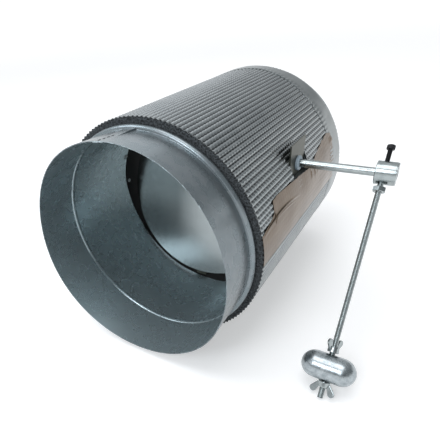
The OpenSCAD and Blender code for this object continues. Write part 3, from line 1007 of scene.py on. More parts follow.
@dataclass(frozen=True)
class Layout:
    """Places that the sub-assemblies share, in millimetres and degrees."""

    tube_r: float = 127.0
    bore_r: float = 126.3
    foam_start: float = 34.1
    foam_end: float = 337.5
    shaft_y: float = 170.3
    shaft_z: float = 57.6
    shaft_r: float = 4.75
    plate_x: float = 123.492
    arm_x: float = 217.992
    hub_offset: float = 2.6
    arm_tilt: float = 39.0
    blade_tilt: float = 12.0

    def along_shaft(self, x: float, side: int = 1) -> Matrix:
        """Frame on the shaft's centre line whose +Z points along the shaft, outwards from that side."""
        place = Matrix.Translation((side * x, self.shaft_y, self.shaft_z))
        return place @ Matrix.Rotation(side * TURN / 4, 4, "Y")

    def at_blade(self) -> Matrix:
        """Frame of the blade: +Z up the blade, +Y to its rear."""
        lean = Matrix.Rotation(math.radians(-self.blade_tilt), 4, "X")
        return Matrix.Translation((0, self.shaft_y, self.shaft_z)) @ lean

    def at_arm(self, down: float = 0.0) -> Matrix:
        """Frame on the arm, so far down it: +Z up the arm, +X along the shaft."""
        lean = Matrix.Rotation(math.radians(-self.arm_tilt), 4, "X")
        place = Matrix.Translation((self.arm_x, self.shaft_y, self.shaft_z))
        return place @ lean @ Matrix.Translation((0, 0, -down))


@dataclass
class DuctTube:
    """The galvanised tube, whose front collar has been pushed a little out of round."""

    layout: Layout
    nodes: dict[str, bpy.types.Object]
    flare: float = 4.0
    waves: tuple[tuple[float, float], ...] = ((-1.3, -2.2), (-2.2, 2.7), (-0.1, -0.6), (-0.9, 0.3))
    bent_to: float = -20.0
    mend: float = 1e-6
    wall_crease: float = 28.0
    wall_facing: float = 0.9
    bead_spans: tuple[tuple[float, float], ...] = ((25.9, 34.1), (337.5, 345.7))
    # Dark marks that paint the shade in the lap's gaps: their profile, sides, stretch, pitch and margins
    mark: tuple[Corner, ...] = (Corner(0, -0.3), Corner(0.75, -0.2), Corner(0.75, 0.2, 0.1), Corner(0, 0.25))
    mark_sides: int = 16
    mark_stretch: float = 3.0
    shade_mark_pitch: float = 6.5
    shade_mark_margins: tuple[float, float] = (4.0, 2.0)
    lap_angle: float = 93.0
    collar_l: float = 26.0
    # Black band on the wall that paints the shade behind the blade: grid, front edge at each angle, rear end,
    # thickness, gap to the wall, thinner front edge, crease and holes
    band_grid: tuple[int, int] = (240, 6)
    band_angles: tuple[float, ...] = (0, 90, 153, 176, 188, 208, 235, 250, 263, 277, 291, 330, 360)
    band_fronts: tuple[float, ...] = (
        141, 141, 141.5, 141.6, 144.8, 146.8, 143.9, 141, 139.2, 135.3, 128, 138, 141
    )
    band_end: float = 186.0
    band_t: float = 0.5
    band_gap: float = 0.05
    shade_band_edge_thinning: float = 0.3
    shade_band_edge_share: float = 0.2
    band_crease: float = 50.0
    band_hole: tuple[Corner, ...] = (Corner(0, -30), Corner(8, -30), Corner(8, 30), Corner(0, 30))
    hole_sides: int = 32
    hole_in: float = 12.0

    def edge_shift(self, angle: float) -> float:
        """Gives how far the collar's open edge stands out at an angle, in millimetres."""
        terms = (c * math.cos(k * angle) + s * math.sin(k * angle) for k, (c, s) in enumerate(self.waves, 1))
        return self.flare + sum(terms)

    def build(self) -> None:
        """Makes the tube, dark marks along its lap that paint the shade in its gaps, and a black band on its
        wall that paints the shade behind the blade.
        """
        self.tube()
        self.lap_marks()
        self.shade_band()

    def tube(self) -> None:
        """Makes the tube and bends its open edge."""
        tube = placed_in_scene("dressed_duct_tube", self.nodes["duct_tube"].data.copy())
        work = bmesh.new()
        work.from_mesh(tube.data)
        bmesh.ops.remove_doubles(work, verts=work.verts, dist=self.mend)
        for v in work.verts:
            if v.co.y < self.bent_to * MM:
                grow = 1 + self.edge_shift(math.atan2(v.co.z, v.co.x)) / self.layout.tube_r
                v.co.x, v.co.z = v.co.x * grow, v.co.z * grow
        bmesh.ops.recalc_face_normals(work, faces=work.faces)
        work.to_mesh(tube.data)
        work.free()
        smooth(tube.data, self.wall_crease)
        self.round_walls(tube.data)
        dress(tube, GALVANISED, "galvanised_sheet", Body.HOUSING, "duct_tube")

    def round_walls(self, mesh: bpy.types.Mesh) -> None:
        """Shades the plain walls as true rounds, whatever corners their holes bring.

        Args:
            mesh: the tube's mesh.
        """
        normals = [corner.vector.copy() for corner in mesh.corner_normals]
        for face in mesh.polygons:
            if any(low < face.center.y / MM < high for low, high in self.bead_spans):
                continue
            facing = face.normal.dot(Vector((face.center.x, 0, face.center.z)).normalized())
            if abs(facing) < self.wall_facing:
                continue
            for k in face.loop_indices:
                spot = mesh.vertices[mesh.loops[k].vertex_index].co
                turned = math.copysign(1.0, facing) * Vector((spot.x, 0, spot.z)).normalized()
                turned.y = face.normal.y
                normals[k] = turned.normalized()
        mesh.normals_split_custom_set(normals)

    def lap_marks(self) -> None:
        """Makes the row of dark marks along the front collar's lap, as painted shade in its gaps."""
        mark = lathe(self.mark, self.mark_sides)
        mark.points[:, 1] *= self.mark_stretch
        angle = math.radians(self.lap_angle)
        out = Vector((math.cos(angle), 0, math.sin(angle)))
        first, last = self.shade_mark_margins
        spots = []
        for y in np.arange(-self.collar_l + first, self.collar_l - last, self.shade_mark_pitch):
            share = (self.collar_l - y) / (2 * self.collar_l)
            r = self.layout.tube_r + share * self.edge_shift(angle)
            spots.append((out * r + Vector((0, y, 0)), out))
        marks = copied("lap_weld_marks", mark, LAP_SHADE_MARK, spots)
        dress(marks, LAP_SHADE_MARK, "galvanised_sheet", Body.HOUSING)

    def shade_band(self) -> None:
        """Makes a black band on the wall round the blade, as painted shade for the gap behind the blade's
        edge; its front edge follows the listed fronts.
        """
        angle, across = round_grid(*self.band_grid)
        front = np.interp(angle, self.band_angles, self.band_fronts)
        station = front + (self.band_end - front) * across
        # The painted shade band is made thinner along its front edge
        thickness = self.band_t - self.shade_band_edge_thinning * np.clip(1 - across / self.shade_band_edge_share, 0, 1)
        radius = np.full(angle.shape, self.layout.bore_r - self.band_gap)
        sheet = rolled_sheet(angle, station, radius, thickness, True, 0 * angle)
        band = sheet.piece("wall_seat_band", self.band_crease)
        hole = lathe(self.band_hole, self.hole_sides)
        for side in (-1, 1):
            place = self.layout.along_shaft(self.layout.plate_x - self.hole_in, side)
            carve(band, hole.placed(place), self.band_crease)
        dress(band, GASKET_AND_SHADE_BLACK, "blade_gasket_rubber", Body.HOUSING)


@dataclass(frozen=True)
class Fold:
    """A fold in a tape: where its middle lies, its half sizes, its height and how far it bows."""

    y: float
    angle: float
    half_y: float
    half_angle: float
    height: float
    bow: float = 0.0


@dataclass(frozen=True)
class Ripple:
    """Soft waves in a tape: their size and height, and the radius and stretch that they are laid at."""

    size: float
    height: float
    radius: float = 138.0
    along: float = 0.6

    def over(self, angle: np.ndarray, station: np.ndarray) -> np.ndarray:
        """Gives the waves' heights over a grid of points.

        Args:
            angle: angles in degrees.
            station: places along Y.

        Returns:
            The heights in millimetres.
        """
        made = np.zeros(angle.shape)
        for i, j in np.ndindex(angle.shape):
            a = math.radians(angle[i, j])
            spot = Vector((math.cos(a) * self.radius, station[i, j] * self.along, math.sin(a) * self.radius))
            made[i, j] = self.height * noise.noise(spot / self.size)
        return made


@dataclass(frozen=True)
class Wander:
    """How a tape's edge wanders along its length: by how much, over what length and from which start."""

    amount: float
    length: float
    start: float

    def over(self, station: np.ndarray) -> np.ndarray:
        """Gives the wandering at each place along Y, in degrees round the duct."""
        return np.vectorize(
            lambda y: self.amount * noise.noise(Vector((y / self.length, self.start, 0)))
        )(station)


@dataclass
class Insulation:
    """Foam sleeve, embossed foil facing and the smooth tapes on it."""

    layout: Layout
    foil_r: float = FLAT_R
    foil_t: float = 0.3
    foil_margin: float = 0.15
    foil_crease: float = 80.0
    dot_h: float = 1.5
    dip: float = 0.65
    rows_round: int = 150
    rows_along: int = 50
    steps_round: int = 4
    steps_along: int = 3
    slot_half: float = 26.5
    slot_below: float = 14.5
    slot_above: float = 13.2
    slot_out: float = 40.0
    foil_in: float = 1.5
    foam_in: float = 12.0
    lining_t: float = 0.25
    lining_drop: float = 14.45
    lining_half: float = 26.3
    lining_ends: tuple[float, float] = (0.4, 0.2)
    tooth_h: float = 0.8
    tooth_l: float = 0.6
    shoulder_l: float = 2.0
    crest_share: float = 0.96
    foam_gap: float = 0.05
    core_gap: float = 0.1
    end_round: float = 0.2
    face_shares: tuple[float, float] = (0.34, 0.67)
    crumble: float = 0.5
    crumble_rate: float = 0.7
    foam_crease: float = 40.0
    tape_t: float = 0.2
    band_steps: int = 26
    band_angles: tuple[float, ...] = (0, 15, 25, 40, 60, 86, 130, 180, 270, 360)
    band_fronts: tuple[float, ...] = (289, 288, 291, 292.5, 302, 313, 311, 302, 296, 289)
    band_over: float = 0.1
    band_turn_from: float = 0.9
    band_turn: float = 6.0
    band_press: float = 0.9
    band_press_rate: float = 3.0
    band_ripple: Ripple = Ripple(14.0, 0.35)
    band_ripple_rate: float = 5.0
    band_show: float = 0.12
    band_show_rate: float = 1.3
    band_crease: float = 50.0
    tape_grid: tuple[int, int] = (90, 220)
    tape_margin: float = 0.1
    tape_end: float = 302.0
    tape_low: float = -2.3
    tape_lift: float = 0.12
    tape_stations: tuple[float, ...] = (
        34, 46, 60, 72, 75, 92, 120, 150, 170, 186, 203, 215, 228, 261, 287, 303
    )
    tape_edges: tuple[float, ...] = (
        12.2, 12.8, 13.8, 15.6, 21.2, 21.3, 20.6, 19.7, 19.0, 18.4, 18.0, 19.2, 21.0, 23.9, 25.6, 24.0
    )
    upper_wander: Wander = Wander(0.5, 7.0, 3.1)
    lower_wander: Wander = Wander(0.12, 30.0, 9.0)
    tape_ripple: Ripple = Ripple(22.0, 0.55)
    tape_show: tuple[float, float] = (0.04, 0.05)
    tape_show_from: float = 200.0
    tape_show_over: float = 60.0
    tape_crease: float = 60.0
    folds: tuple[Fold, ...] = (
        Fold(94, 13.9, 46, 0.5, 1.4, -0.0009),
        Fold(88, 12.7, 40, 0.35, 0.9, -0.0009),
        Fold(199, 14.2, 2.0, 2.4, 0.8),
        Fold(213, 13.4, 1.8, 2.2, 0.8),
        Fold(226, 13.6, 1.6, 1.8, 0.7),
        Fold(306, 20.4, 14.0, 1.6, 1.4),
    )
    crest: float = field(init=False)

    def __post_init__(self) -> None:
        """Works out the crest of the dots, which the tapes lie on."""
        self.crest = self.foil_r + self.dot_h

    def build(self) -> None:
        """Makes every layer."""
        self.foil()
        self.foam()
        self.rear_band()
        self.seam_tape()
        self.slot_linings()

    def ridge(self, angle: np.ndarray) -> np.ndarray:
        """Gives the facing's ridges, 1 at their crest, at angles in degrees."""
        return 1 - (0.5 - 0.5 * np.cos(np.radians(angle) * self.rows_round)) ** 2

    def windows(self, depth: float) -> list[Shape]:
        """Gives the slots for the two brackets.

        Args:
            depth: how far the slots reach in behind the brackets' plates.

        Returns:
            One box for each slot.
        """
        y, z, x = self.layout.shaft_y, self.layout.shaft_z, self.layout.plate_x
        boxes = []
        for side in (-1, 1):
            low, high = sorted((side * (x - depth), side * (x + self.slot_out)))
            bottom = (low, y - self.slot_half, z - self.slot_below)
            boxes.append(block(bottom, (high, y + self.slot_half, z + self.slot_above)))
        return boxes

    def foil(self) -> None:
        """Makes the facing, pressed in rows of dots by its embossing rollers."""
        start, end = self.layout.foam_start, self.layout.foam_end
        values = {
            "Radius": self.foil_r * MM,
            "Thickness": self.foil_t * MM,
            "Start": (start + self.foil_margin) * MM,
            "Length": (end - start - 2 * self.foil_margin) * MM,
            "Rows Round": float(self.rows_round),
            "Rows Along": float(self.rows_along),
            "Height": self.dot_h * MM,
            "Dip Share": self.dip,
            "Grid Round": self.steps_round * self.rows_round + 1,
            "Grid Along": self.steps_along * self.rows_along + 1 + Trees.END_ROWS,
            "Material": EMBOSSED_FOIL.material(),
        }
        foil = grown("embossed_facing", Trees.embossed_sleeve(), values, crease=self.foil_crease)
        for window in self.windows(self.foil_in):
            carve(foil, window, self.foil_crease)
        dress(foil, EMBOSSED_FOIL, "embossed_foil", Body.HOUSING, "foil_facing")

    def foam(self) -> None:
        """Makes the foam, whose outer edge follows the facing's ridges."""
        n = self.steps_round * self.rows_round
        angle = np.arange(n) * 360.0 / n
        ridge = self.ridge(angle)
        crest, dip = (
            self.foil_r + self.dot_h * share * ridge - self.foil_t - self.foam_gap
            for share in (self.crest_share, 1 - self.dip)
        )
        inner = np.full(n, self.layout.tube_r + self.core_gap)
        teeth = crest + self.tooth_h * (0.5 + 0.5 * np.cos(np.radians(angle) * self.rows_round))
        front, back = self.layout.foam_start, self.layout.foam_end
        face = [(inner * (1 - share) + crest * share, front) for share in self.face_shares]
        loops = [
            (inner, front + self.end_round),
            *face,
            (teeth, front),
            (crest, front + self.tooth_l),
            (dip, front + self.shoulder_l),
            (dip, back),
            (inner, back - self.end_round),
        ]
        a = np.radians(angle)
        points, faces = [], []
        for k, (r, y) in enumerate(loops):
            for i in range(n):
                spot = Vector((r[i] * math.cos(a[i]), y, r[i] * math.sin(a[i])))
                if 1 <= k <= len(face):
                    spot.y += self.crumble * noise.noise(spot * self.crumble_rate)
                points.append(spot[:])
        for k in range(len(loops)):
            for i in range(n):
                low, high = k * n, (k + 1) % len(loops) * n
                faces.append((low + i, low + (i + 1) % n, high + (i + 1) % n, high + i))
        foam = Shape(np.array(points), faces).piece("dressed_foam", self.foam_crease)
        for window in self.windows(self.foam_in):
            carve(foam, window, self.foam_crease)
        dress(foam, FOAM, "black_foam", Body.HOUSING, "foam_sleeve")

    def rear_band(self) -> None:
        """Makes the tape round the rear end, wound on a little askew and pressed down along its front."""
        angle, across = round_grid(self.steps_round * self.rows_round, self.band_steps)
        front = np.interp(angle, self.band_angles, self.band_fronts)
        station = front + (self.layout.foam_end + self.band_over - front) * across
        show = self.band_show * np.clip(1 - across * self.band_show_rate, 0, 1) * np.ones_like(angle)
        lean = np.clip(across - self.band_turn_from, 0, 1) * -self.band_turn
        press = np.clip(self.band_press - self.band_press_rate * across, 0, 1)
        pressed = self.dot_h * (1 - self.ridge(angle)) * press
        waves = self.band_ripple.over(angle, station) * np.clip(across * self.band_ripple_rate, 0, 1)
        radius = self.crest + self.tape_t + lean - pressed + waves
        band = rolled_sheet(angle, station, radius, self.tape_t, True, show)
        made = band.piece("rear_band", self.band_crease)
        dress(made, BAND_TAPE, "smooth_tape", Body.HOUSING, "rear_tape_band")

    def seam_tape(self) -> None:
        """Makes the tape along the foam's butt joint, with its folds and creases."""
        n, m = self.tape_grid
        start = self.layout.foam_start
        along = np.linspace(0, 1, m)[None, :] * np.ones((n, 1))
        station = start + self.tape_margin + along * (self.tape_end - start)
        high = np.interp(station, self.tape_stations, self.tape_edges) + self.upper_wander.over(station)
        low = self.tape_low + self.lower_wander.over(station)
        angle = low + (high - low) * np.linspace(0, 1, n)[:, None]
        radius = self.crest + self.tape_lift + self.tape_ripple.over(angle, station)
        for fold in self.folds:
            off = station - fold.y
            aside = (angle - fold.angle - fold.bow * off**2) / fold.half_angle
            radius += fold.height * np.exp(-((off / fold.half_y) ** 4) - aside**2)
        base, more = self.tape_show
        show = base + more * np.clip((station - self.tape_show_from) / self.tape_show_over, 0, 1)
        tape = rolled_sheet(angle, station, radius, self.tape_t, False, show)
        made = tape.piece("long_seam_tape", self.tape_crease)
        dress(made, SEAM_TAPE, "smooth_tape", Body.HOUSING, "seam_tape")

    def slot_linings(self) -> None:
        """Makes the strips of foil folded down over the lower edge of each bracket's slot."""
        y, z = self.layout.shaft_y, self.layout.shaft_z - self.lining_drop
        inside = self.layout.plate_x + self.lining_ends[0]
        outside = math.sqrt(self.foil_r**2 - z**2) + self.lining_ends[1]
        strips = []
        for side in (-1, 1):
            low, high = sorted((side * inside, side * outside))
            top = (high, y + self.lining_half, z + self.lining_t)
            strips.append(block((low, y - self.lining_half, z), top))
        lining = strips[0].joined(strips[1]).piece("slot_lining_strips")
        dress(lining, BAND_TAPE, "smooth_tape", Body.HOUSING)


@dataclass
class Bearings:
    """Brackets, bushes and rivets that carry the shaft."""

    layout: Layout
    nodes: dict[str, bpy.types.Object]
    bush: tuple[Corner, ...] = (
        Corner(4.8, -2.6),
        Corner(6.5, -2.6, 0.3),
        Corner(6.5, 0.1),
        Corner(8.75, 0.1, 0.2),
        Corner(8.75, 4.0, 1.3),
        Corner(4.8, 4.0, 0.5),
    )
    bush_sides: int = 72
    rivet_tail: tuple[Corner, ...] = (
        Corner(0, -0.9),
        Corner(0.5, -0.9),
        Corner(1.8, -0.35, 0.3),
        Corner(1.8, 0),
        Corner(1, 0),
    )
    rivet_head: tuple[Corner, ...] = (
        Corner(1, 0),
        Corner(1.8, 0),
        Corner(1.8, 0.25, 0.2),
        Corner(0.9, 0.8, 0.4),
        Corner(0.54, 0.55),
        Corner(0, 0.55),
    )
    rivet_flush: tuple[Corner, ...] = (Corner(1, 0), Corner(0, 0))
    rivet_sides: int = 32
    foot_z: float = 48.85
    foot_r: float = 128.6
    foot_y: float = 32.5
    foot_rivet: tuple[float, float] = (2.0, 2.5)
    foot_sunk: float = 0.1
    stops: tuple[tuple[float, int], ...] = ((-90, 1), (-35, 1), (-145, 1), (62, -1), (118, -1))
    stop_faces: tuple[float, float] = (8.8, 4.8)
    stop_foot: float = 9.75
    stop_rivet: tuple[float, float] = (1.6, 2.2)
    stop_sunk: float = 1.7
    lone_angle: float = 177.0
    lone_y: float = 148.7
    lone_sunk: float = 0.2

    def build(self) -> None:
        """Makes the bushes and rivets, and coats the brackets and stops."""
        coat(self.nodes, BRACKET_STEEL, "near_bracket", "far_bracket", "blade_stops")
        for name, side in (("near_bush", 1), ("far_bush", -1)):
            ring = lathe(self.bush, self.bush_sides, True)
            bush = ring.placed(self.layout.along_shaft(self.layout.plate_x, side)).piece(f"moulded_{name}")
            dress(bush, BUSH_PLASTIC, "bush_plastic", Body.HOUSING, name)
        self.bracket_rivets()
        self.stop_rivets()

    def rivet(self, r: float, grip: float, outer: Sequence[Corner]) -> Shape:
        """Draws a blind rivet along +Z, from its formed end to its outer end.

        Args:
            r: radius of its body.
            grip: thickness that it holds together.
            outer: profile of its outer end, in radii of its body.

        Returns:
            The rivet.
        """
        ends = ((self.rivet_tail, 0.0), (outer, grip))
        profile = [Corner(c.r * r, z + c.z * r, c.fillet * r) for corners, z in ends for c in corners]
        return lathe(profile, self.rivet_sides)

    def radial(self, angle: float, y: float, r: float) -> tuple[Vector, Vector]:
        """Places a rivet on the tube's wall.

        Args:
            angle: angle in degrees from +X towards +Z.
            y: place along the duct.
            r: distance from the axis.

        Returns:
            The point, and the direction away from the axis.
        """
        a = math.radians(angle)
        out = Vector((math.cos(a), 0, math.sin(a)))
        return out * r + Vector((0, y, 0)), out

    def bracket_rivets(self) -> None:
        """Makes the rivets through the brackets' feet."""
        angle = math.degrees(math.asin(self.foot_z / self.foot_r))
        r = self.layout.bore_r - self.foot_sunk
        sides = [(a, way) for a in (angle, 180 - angle) for way in (-1, 1)]
        spots = [self.radial(a, self.layout.shaft_y + way * self.foot_y, r) for a, way in sides]
        drawn = self.rivet(*self.foot_rivet, self.rivet_head)
        rivets = copied("bracket_blind_rivets", drawn, RIVET_METAL, spots)
        dress(rivets, RIVET_METAL, "rivet_aluminium", Body.HOUSING, "bracket_rivets")

    def stop_rivets(self) -> None:
        """Makes the rivets through the stops' feet, flush outside, and a lone one on the wall."""
        lean = math.radians(self.layout.blade_tilt)
        bore = self.layout.bore_r
        spots = []
        for angle, way in self.stops:
            height = bore * math.sin(math.radians(angle)) - self.layout.shaft_z
            face = self.stop_faces[0 if way > 0 else 1]
            y = self.layout.shaft_y + height * math.tan(lean) + face * math.cos(lean) + way * self.stop_foot
            spots.append(self.radial(angle, y, bore - self.stop_sunk))
        spots.append(self.radial(self.lone_angle, self.lone_y, bore - self.lone_sunk))
        drawn = self.rivet(*self.stop_rivet, self.rivet_flush)
        rivets = copied("stop_blind_rivets", drawn, RIVET_METAL, spots)
        dress(rivets, RIVET_METAL, "rivet_aluminium", Body.HOUSING, "stop_rivets")


@dataclass
class Blade:
    """Shaft and blade, with the fasteners that join them."""

    layout: Layout
    nodes: dict[str, bpy.types.Object]
    strap_x: float = 74.97
    bolt_z: float = 14.0
    bolt_r: float = 2.5
    bolt_tip: float = -3.4
    bolt_point: float = 0.5
    flats: float = 8.0
    face_share: float = 0.92
    head_under: float = 8.9
    head_edge: float = 11.2
    head_top: float = 11.9
    nut_bottom: float = -1.0
    nut_top: float = 3.0
    nut_edge: float = 0.5
    nut_play: float = 0.05
    sides: int = 48

    def build(self) -> None:
        """Coats the sheet parts and makes the bolts and nuts."""
        coat(self.nodes, BLADE_SHEET, "front_blade_disc", "rear_blade_disc")
        coat(self.nodes, GASKET_AND_SHADE_BLACK, "blade_gasket")
        coat(self.nodes, ZINC_PLATE, "shaft", "blade_straps")
        coat(self.nodes, BLACK_OXIDE, "near_retaining_ring", "far_retaining_ring")
        frame = self.layout.at_blade()
        spots = [(x, z) for x in (-self.strap_x, 0, self.strap_x) for z in (-self.bolt_z, self.bolt_z)]
        places = [(frame @ Vector((x, 0, z)), frame.to_3x3() @ Vector((0, 1, 0))) for x, z in spots]
        for name, drawn, node in (
            ("hex_blade_bolts", self.bolt(), "blade_bolts"),
            ("hex_blade_nuts", self.nut(), "blade_nuts"),
        ):
            made = copied(name, drawn, ZINC_PLATE, places)
            dress(made, ZINC_PLATE, "plated_steel", Body.BLADE, node)

    def bolt(self) -> Shape:
        """Draws a hexagon bolt along +Z, from its tip to its head."""
        corner = corner_radius(self.flats)
        hexed = hexagon(self.flats)
        profile = [
            Corner(0, self.bolt_tip),
            Corner(self.bolt_r - self.bolt_point, self.bolt_tip),
            Corner(self.bolt_r, self.bolt_tip + self.bolt_point),
            Corner(self.bolt_r, self.head_under),
            Corner(corner, self.head_under, 0, hexed),
            Corner(corner, self.head_edge, 0, hexed),
            Corner(self.flats / 2 * self.face_share, self.head_top, 0, hexed),
            Corner(0, self.head_top),
        ]
        return lathe(profile, self.sides)

    def nut(self) -> Shape:
        """Draws the bolt's hexagon nut."""
        corner = corner_radius(self.flats)
        hexed = hexagon(self.flats)
        bore = self.bolt_r + self.nut_play
        face = self.flats / 2 * self.face_share
        profile = [
            Corner(bore, self.nut_bottom),
            Corner(face, self.nut_bottom, 0, hexed),
            Corner(corner, self.nut_bottom + self.nut_edge, 0, hexed),
            Corner(corner, self.nut_top - self.nut_edge, 0, hexed),
            Corner(face, self.nut_top, 0, hexed),
            Corner(bore, self.nut_top),
        ]
        return lathe(profile, self.sides, True)


@dataclass
class Arm:
    """Hub, clamp screw, threaded rod and jam nut."""

    layout: Layout
    hub_r: float = 12.7
    hub_l: float = 21.4
    hub_play: float = 0.05
    hub_rim: float = 0.8
    hub_step: float = 0.35
    hub_step_z: tuple[float, float] = (1.6, 1.3)
    hub_step_fillets: tuple[float, float] = (0.15, 0.1)
    hub_bore_fillets: tuple[float, float] = (0.4, 0.5)
    hub_sides: int = 96
    hub_crease: float = 30.0
    rod_r: float = 3.175
    rod_start: float = 5.15
    rod_end: float = 253.0
    rod_depth: float = 0.55
    rod_pitch: float = 1.27
    thread_sides: int = 24
    thread_spare: int = 12
    thread_crease: float = 75.0
    screw_r: float = 2.5
    screw_depth: float = 0.4
    screw_pitch: float = 0.8
    screw_proud: float = 13.6
    screw_in: float = 0.2
    head_r: float = 4.25
    head_h: float = 5.0
    head_top_r: float = 3.45
    head_edge: tuple[float, float] = (0.2, 0.4)
    head_foot: tuple[float, float] = (0.3, 0.4)
    head_ridges: int = 36
    ridge_depth: float = 0.18
    ridge_top: float = 0.6
    socket_flats: float = 4.0
    head_sides: int = 144
    jam_at: float = 16.1
    jam_t: float = 5.6
    jam_flats: float = 12.2
    jam_face_share: float = 0.94
    jam_edge: float = 0.55
    jam_play: float = 0.02
    jam_mouth: tuple[float, float] = (0.5, 0.4)
    jam_sides: int = 72
    jam_crease: float = 25.0

    def build(self) -> None:
        """Makes the arm's pieces."""
        self.hub()
        self.rod()
        self.screw()
        self.jam_nut()

    def thread(
        self, name: str, r: float, depth: float, pitch: float, length: float, frame: Matrix
    ) -> bpy.types.Object:
        """Winds a thread along +Z of a frame.

        Args:
            name: the object's name.
            r: outside radius.
            depth: depth of the thread.
            pitch: pitch of the thread.
            length: length of the threaded stretch.
            frame: where it starts, in millimetres.

        Returns:
            The thread.
        """
        values = {
            "Radius": r * MM,
            "Depth": depth * MM,
            "Pitch": pitch * MM,
            "Length": length * MM,
            "Rows": int(length / pitch * Trees.ROWS_A_TURN) + self.thread_spare,
            "Segments": self.thread_sides + 1,
            "Material": ZINC_PLATE.material(),
        }
        made = grown(name, Trees.thread(), values, crease=self.thread_crease)
        made.data.transform(in_metres(frame))
        return made

    def hub(self) -> None:
        """Makes the turned hub, with a shallow step near its outer end."""
        half = self.hub_l / 2
        bore = self.layout.shaft_r + self.hub_play
        stepped = self.hub_r - self.hub_step
        ring = lathe(
            [
                Corner(bore, -half, self.hub_bore_fillets[0]),
                Corner(self.hub_r, -half, self.hub_rim),
                Corner(self.hub_r, half - self.hub_step_z[0], self.hub_step_fillets[0]),
                Corner(stepped, half - self.hub_step_z[1], self.hub_step_fillets[1]),
                Corner(stepped, half, self.hub_rim),
                Corner(bore, half, self.hub_bore_fillets[1]),
            ],
            self.hub_sides,
            True,
        )
        middle = self.layout.arm_x + self.layout.hub_offset
        hub = ring.placed(self.layout.along_shaft(middle)).piece("turned_hub", self.hub_crease)
        dress(hub, ZINC_PLATE, "plated_steel", Body.ARM, "arm_hub")

    def rod(self) -> None:
        """Makes the threaded rod."""
        length = self.rod_end - self.rod_start
        frame = self.layout.at_arm(self.rod_end)
        rod = self.thread("threaded_arm", self.rod_r, self.rod_depth, self.rod_pitch, length, frame)
        dress(rod, ZINC_PLATE, "plated_steel", Body.ARM, "threaded_rod")

    def screw(self) -> None:
        """Makes the clamp screw, with its knurled socket head."""
        tip = self.layout.shaft_r + self.screw_in
        under = self.hub_r + self.screw_proud
        shank = self.thread(
            "clamp_screw_thread",
            self.screw_r,
            self.screw_depth,
            self.screw_pitch,
            under - tip,
            self.layout.at_arm(-tip),
        )
        dress(shank, BLACK_OXIDE, "black_steel", Body.CLAMP_SCREW, "clamp_screw")
        ridged = knurl(self.head_ridges, self.ridge_depth)
        socket = hexagon(self.socket_flats, inside=True)
        head = lathe(
            [
                Corner(0, self.head_h / 2),
                Corner(self.socket_flats / 2, self.head_h / 2, 0, socket),
                Corner(self.socket_flats / 2, self.head_h, 0, socket),
                Corner(self.head_top_r, self.head_h),
                Corner(self.head_r - self.head_edge[0], self.head_h - self.head_edge[1]),
                Corner(self.head_r, self.head_h - self.ridge_top, 0, ridged),
                Corner(self.head_r, self.head_foot[1], 0, ridged),
                Corner(self.head_r - self.head_foot[0], 0),
                Corner(0, 0),
            ],
            self.head_sides,
        )
        top = head.placed(self.layout.at_arm(-under)).piece("clamp_screw_head")
        dress(top, BLACK_OXIDE, "black_steel", Body.CLAMP_SCREW, "clamp_screw")

    def jam_nut(self) -> None:
        """Makes the hexagonal jam nut, chamfered on both faces."""
        hexed = hexagon(self.jam_flats)
        corner = corner_radius(self.jam_flats)
        face = self.jam_flats / 2 * self.jam_face_share
        wide, deep = self.jam_mouth
        nut = lathe(
            [
                Corner(self.rod_r + self.jam_play, deep),
                Corner(self.rod_r + wide, 0),
                Corner(face, 0, 0, hexed),
                Corner(corner, self.jam_edge, 0, hexed),
                Corner(corner, self.jam_t - self.jam_edge, 0, hexed),
                Corner(face, self.jam_t, 0, hexed),
                Corner(self.rod_r + wide, self.jam_t),
                Corner(self.rod_r + self.jam_play, self.jam_t - deep),
            ],
            self.jam_sides,
            True,
        )
        frame = self.layout.at_arm(self.jam_at + self.jam_t)
        made = nut.placed(frame).piece("hex_jam_nut", self.jam_crease)
        dress(made, ZINC_PLATE, "plated_steel", Body.JAM_NUT, "jam_nut")


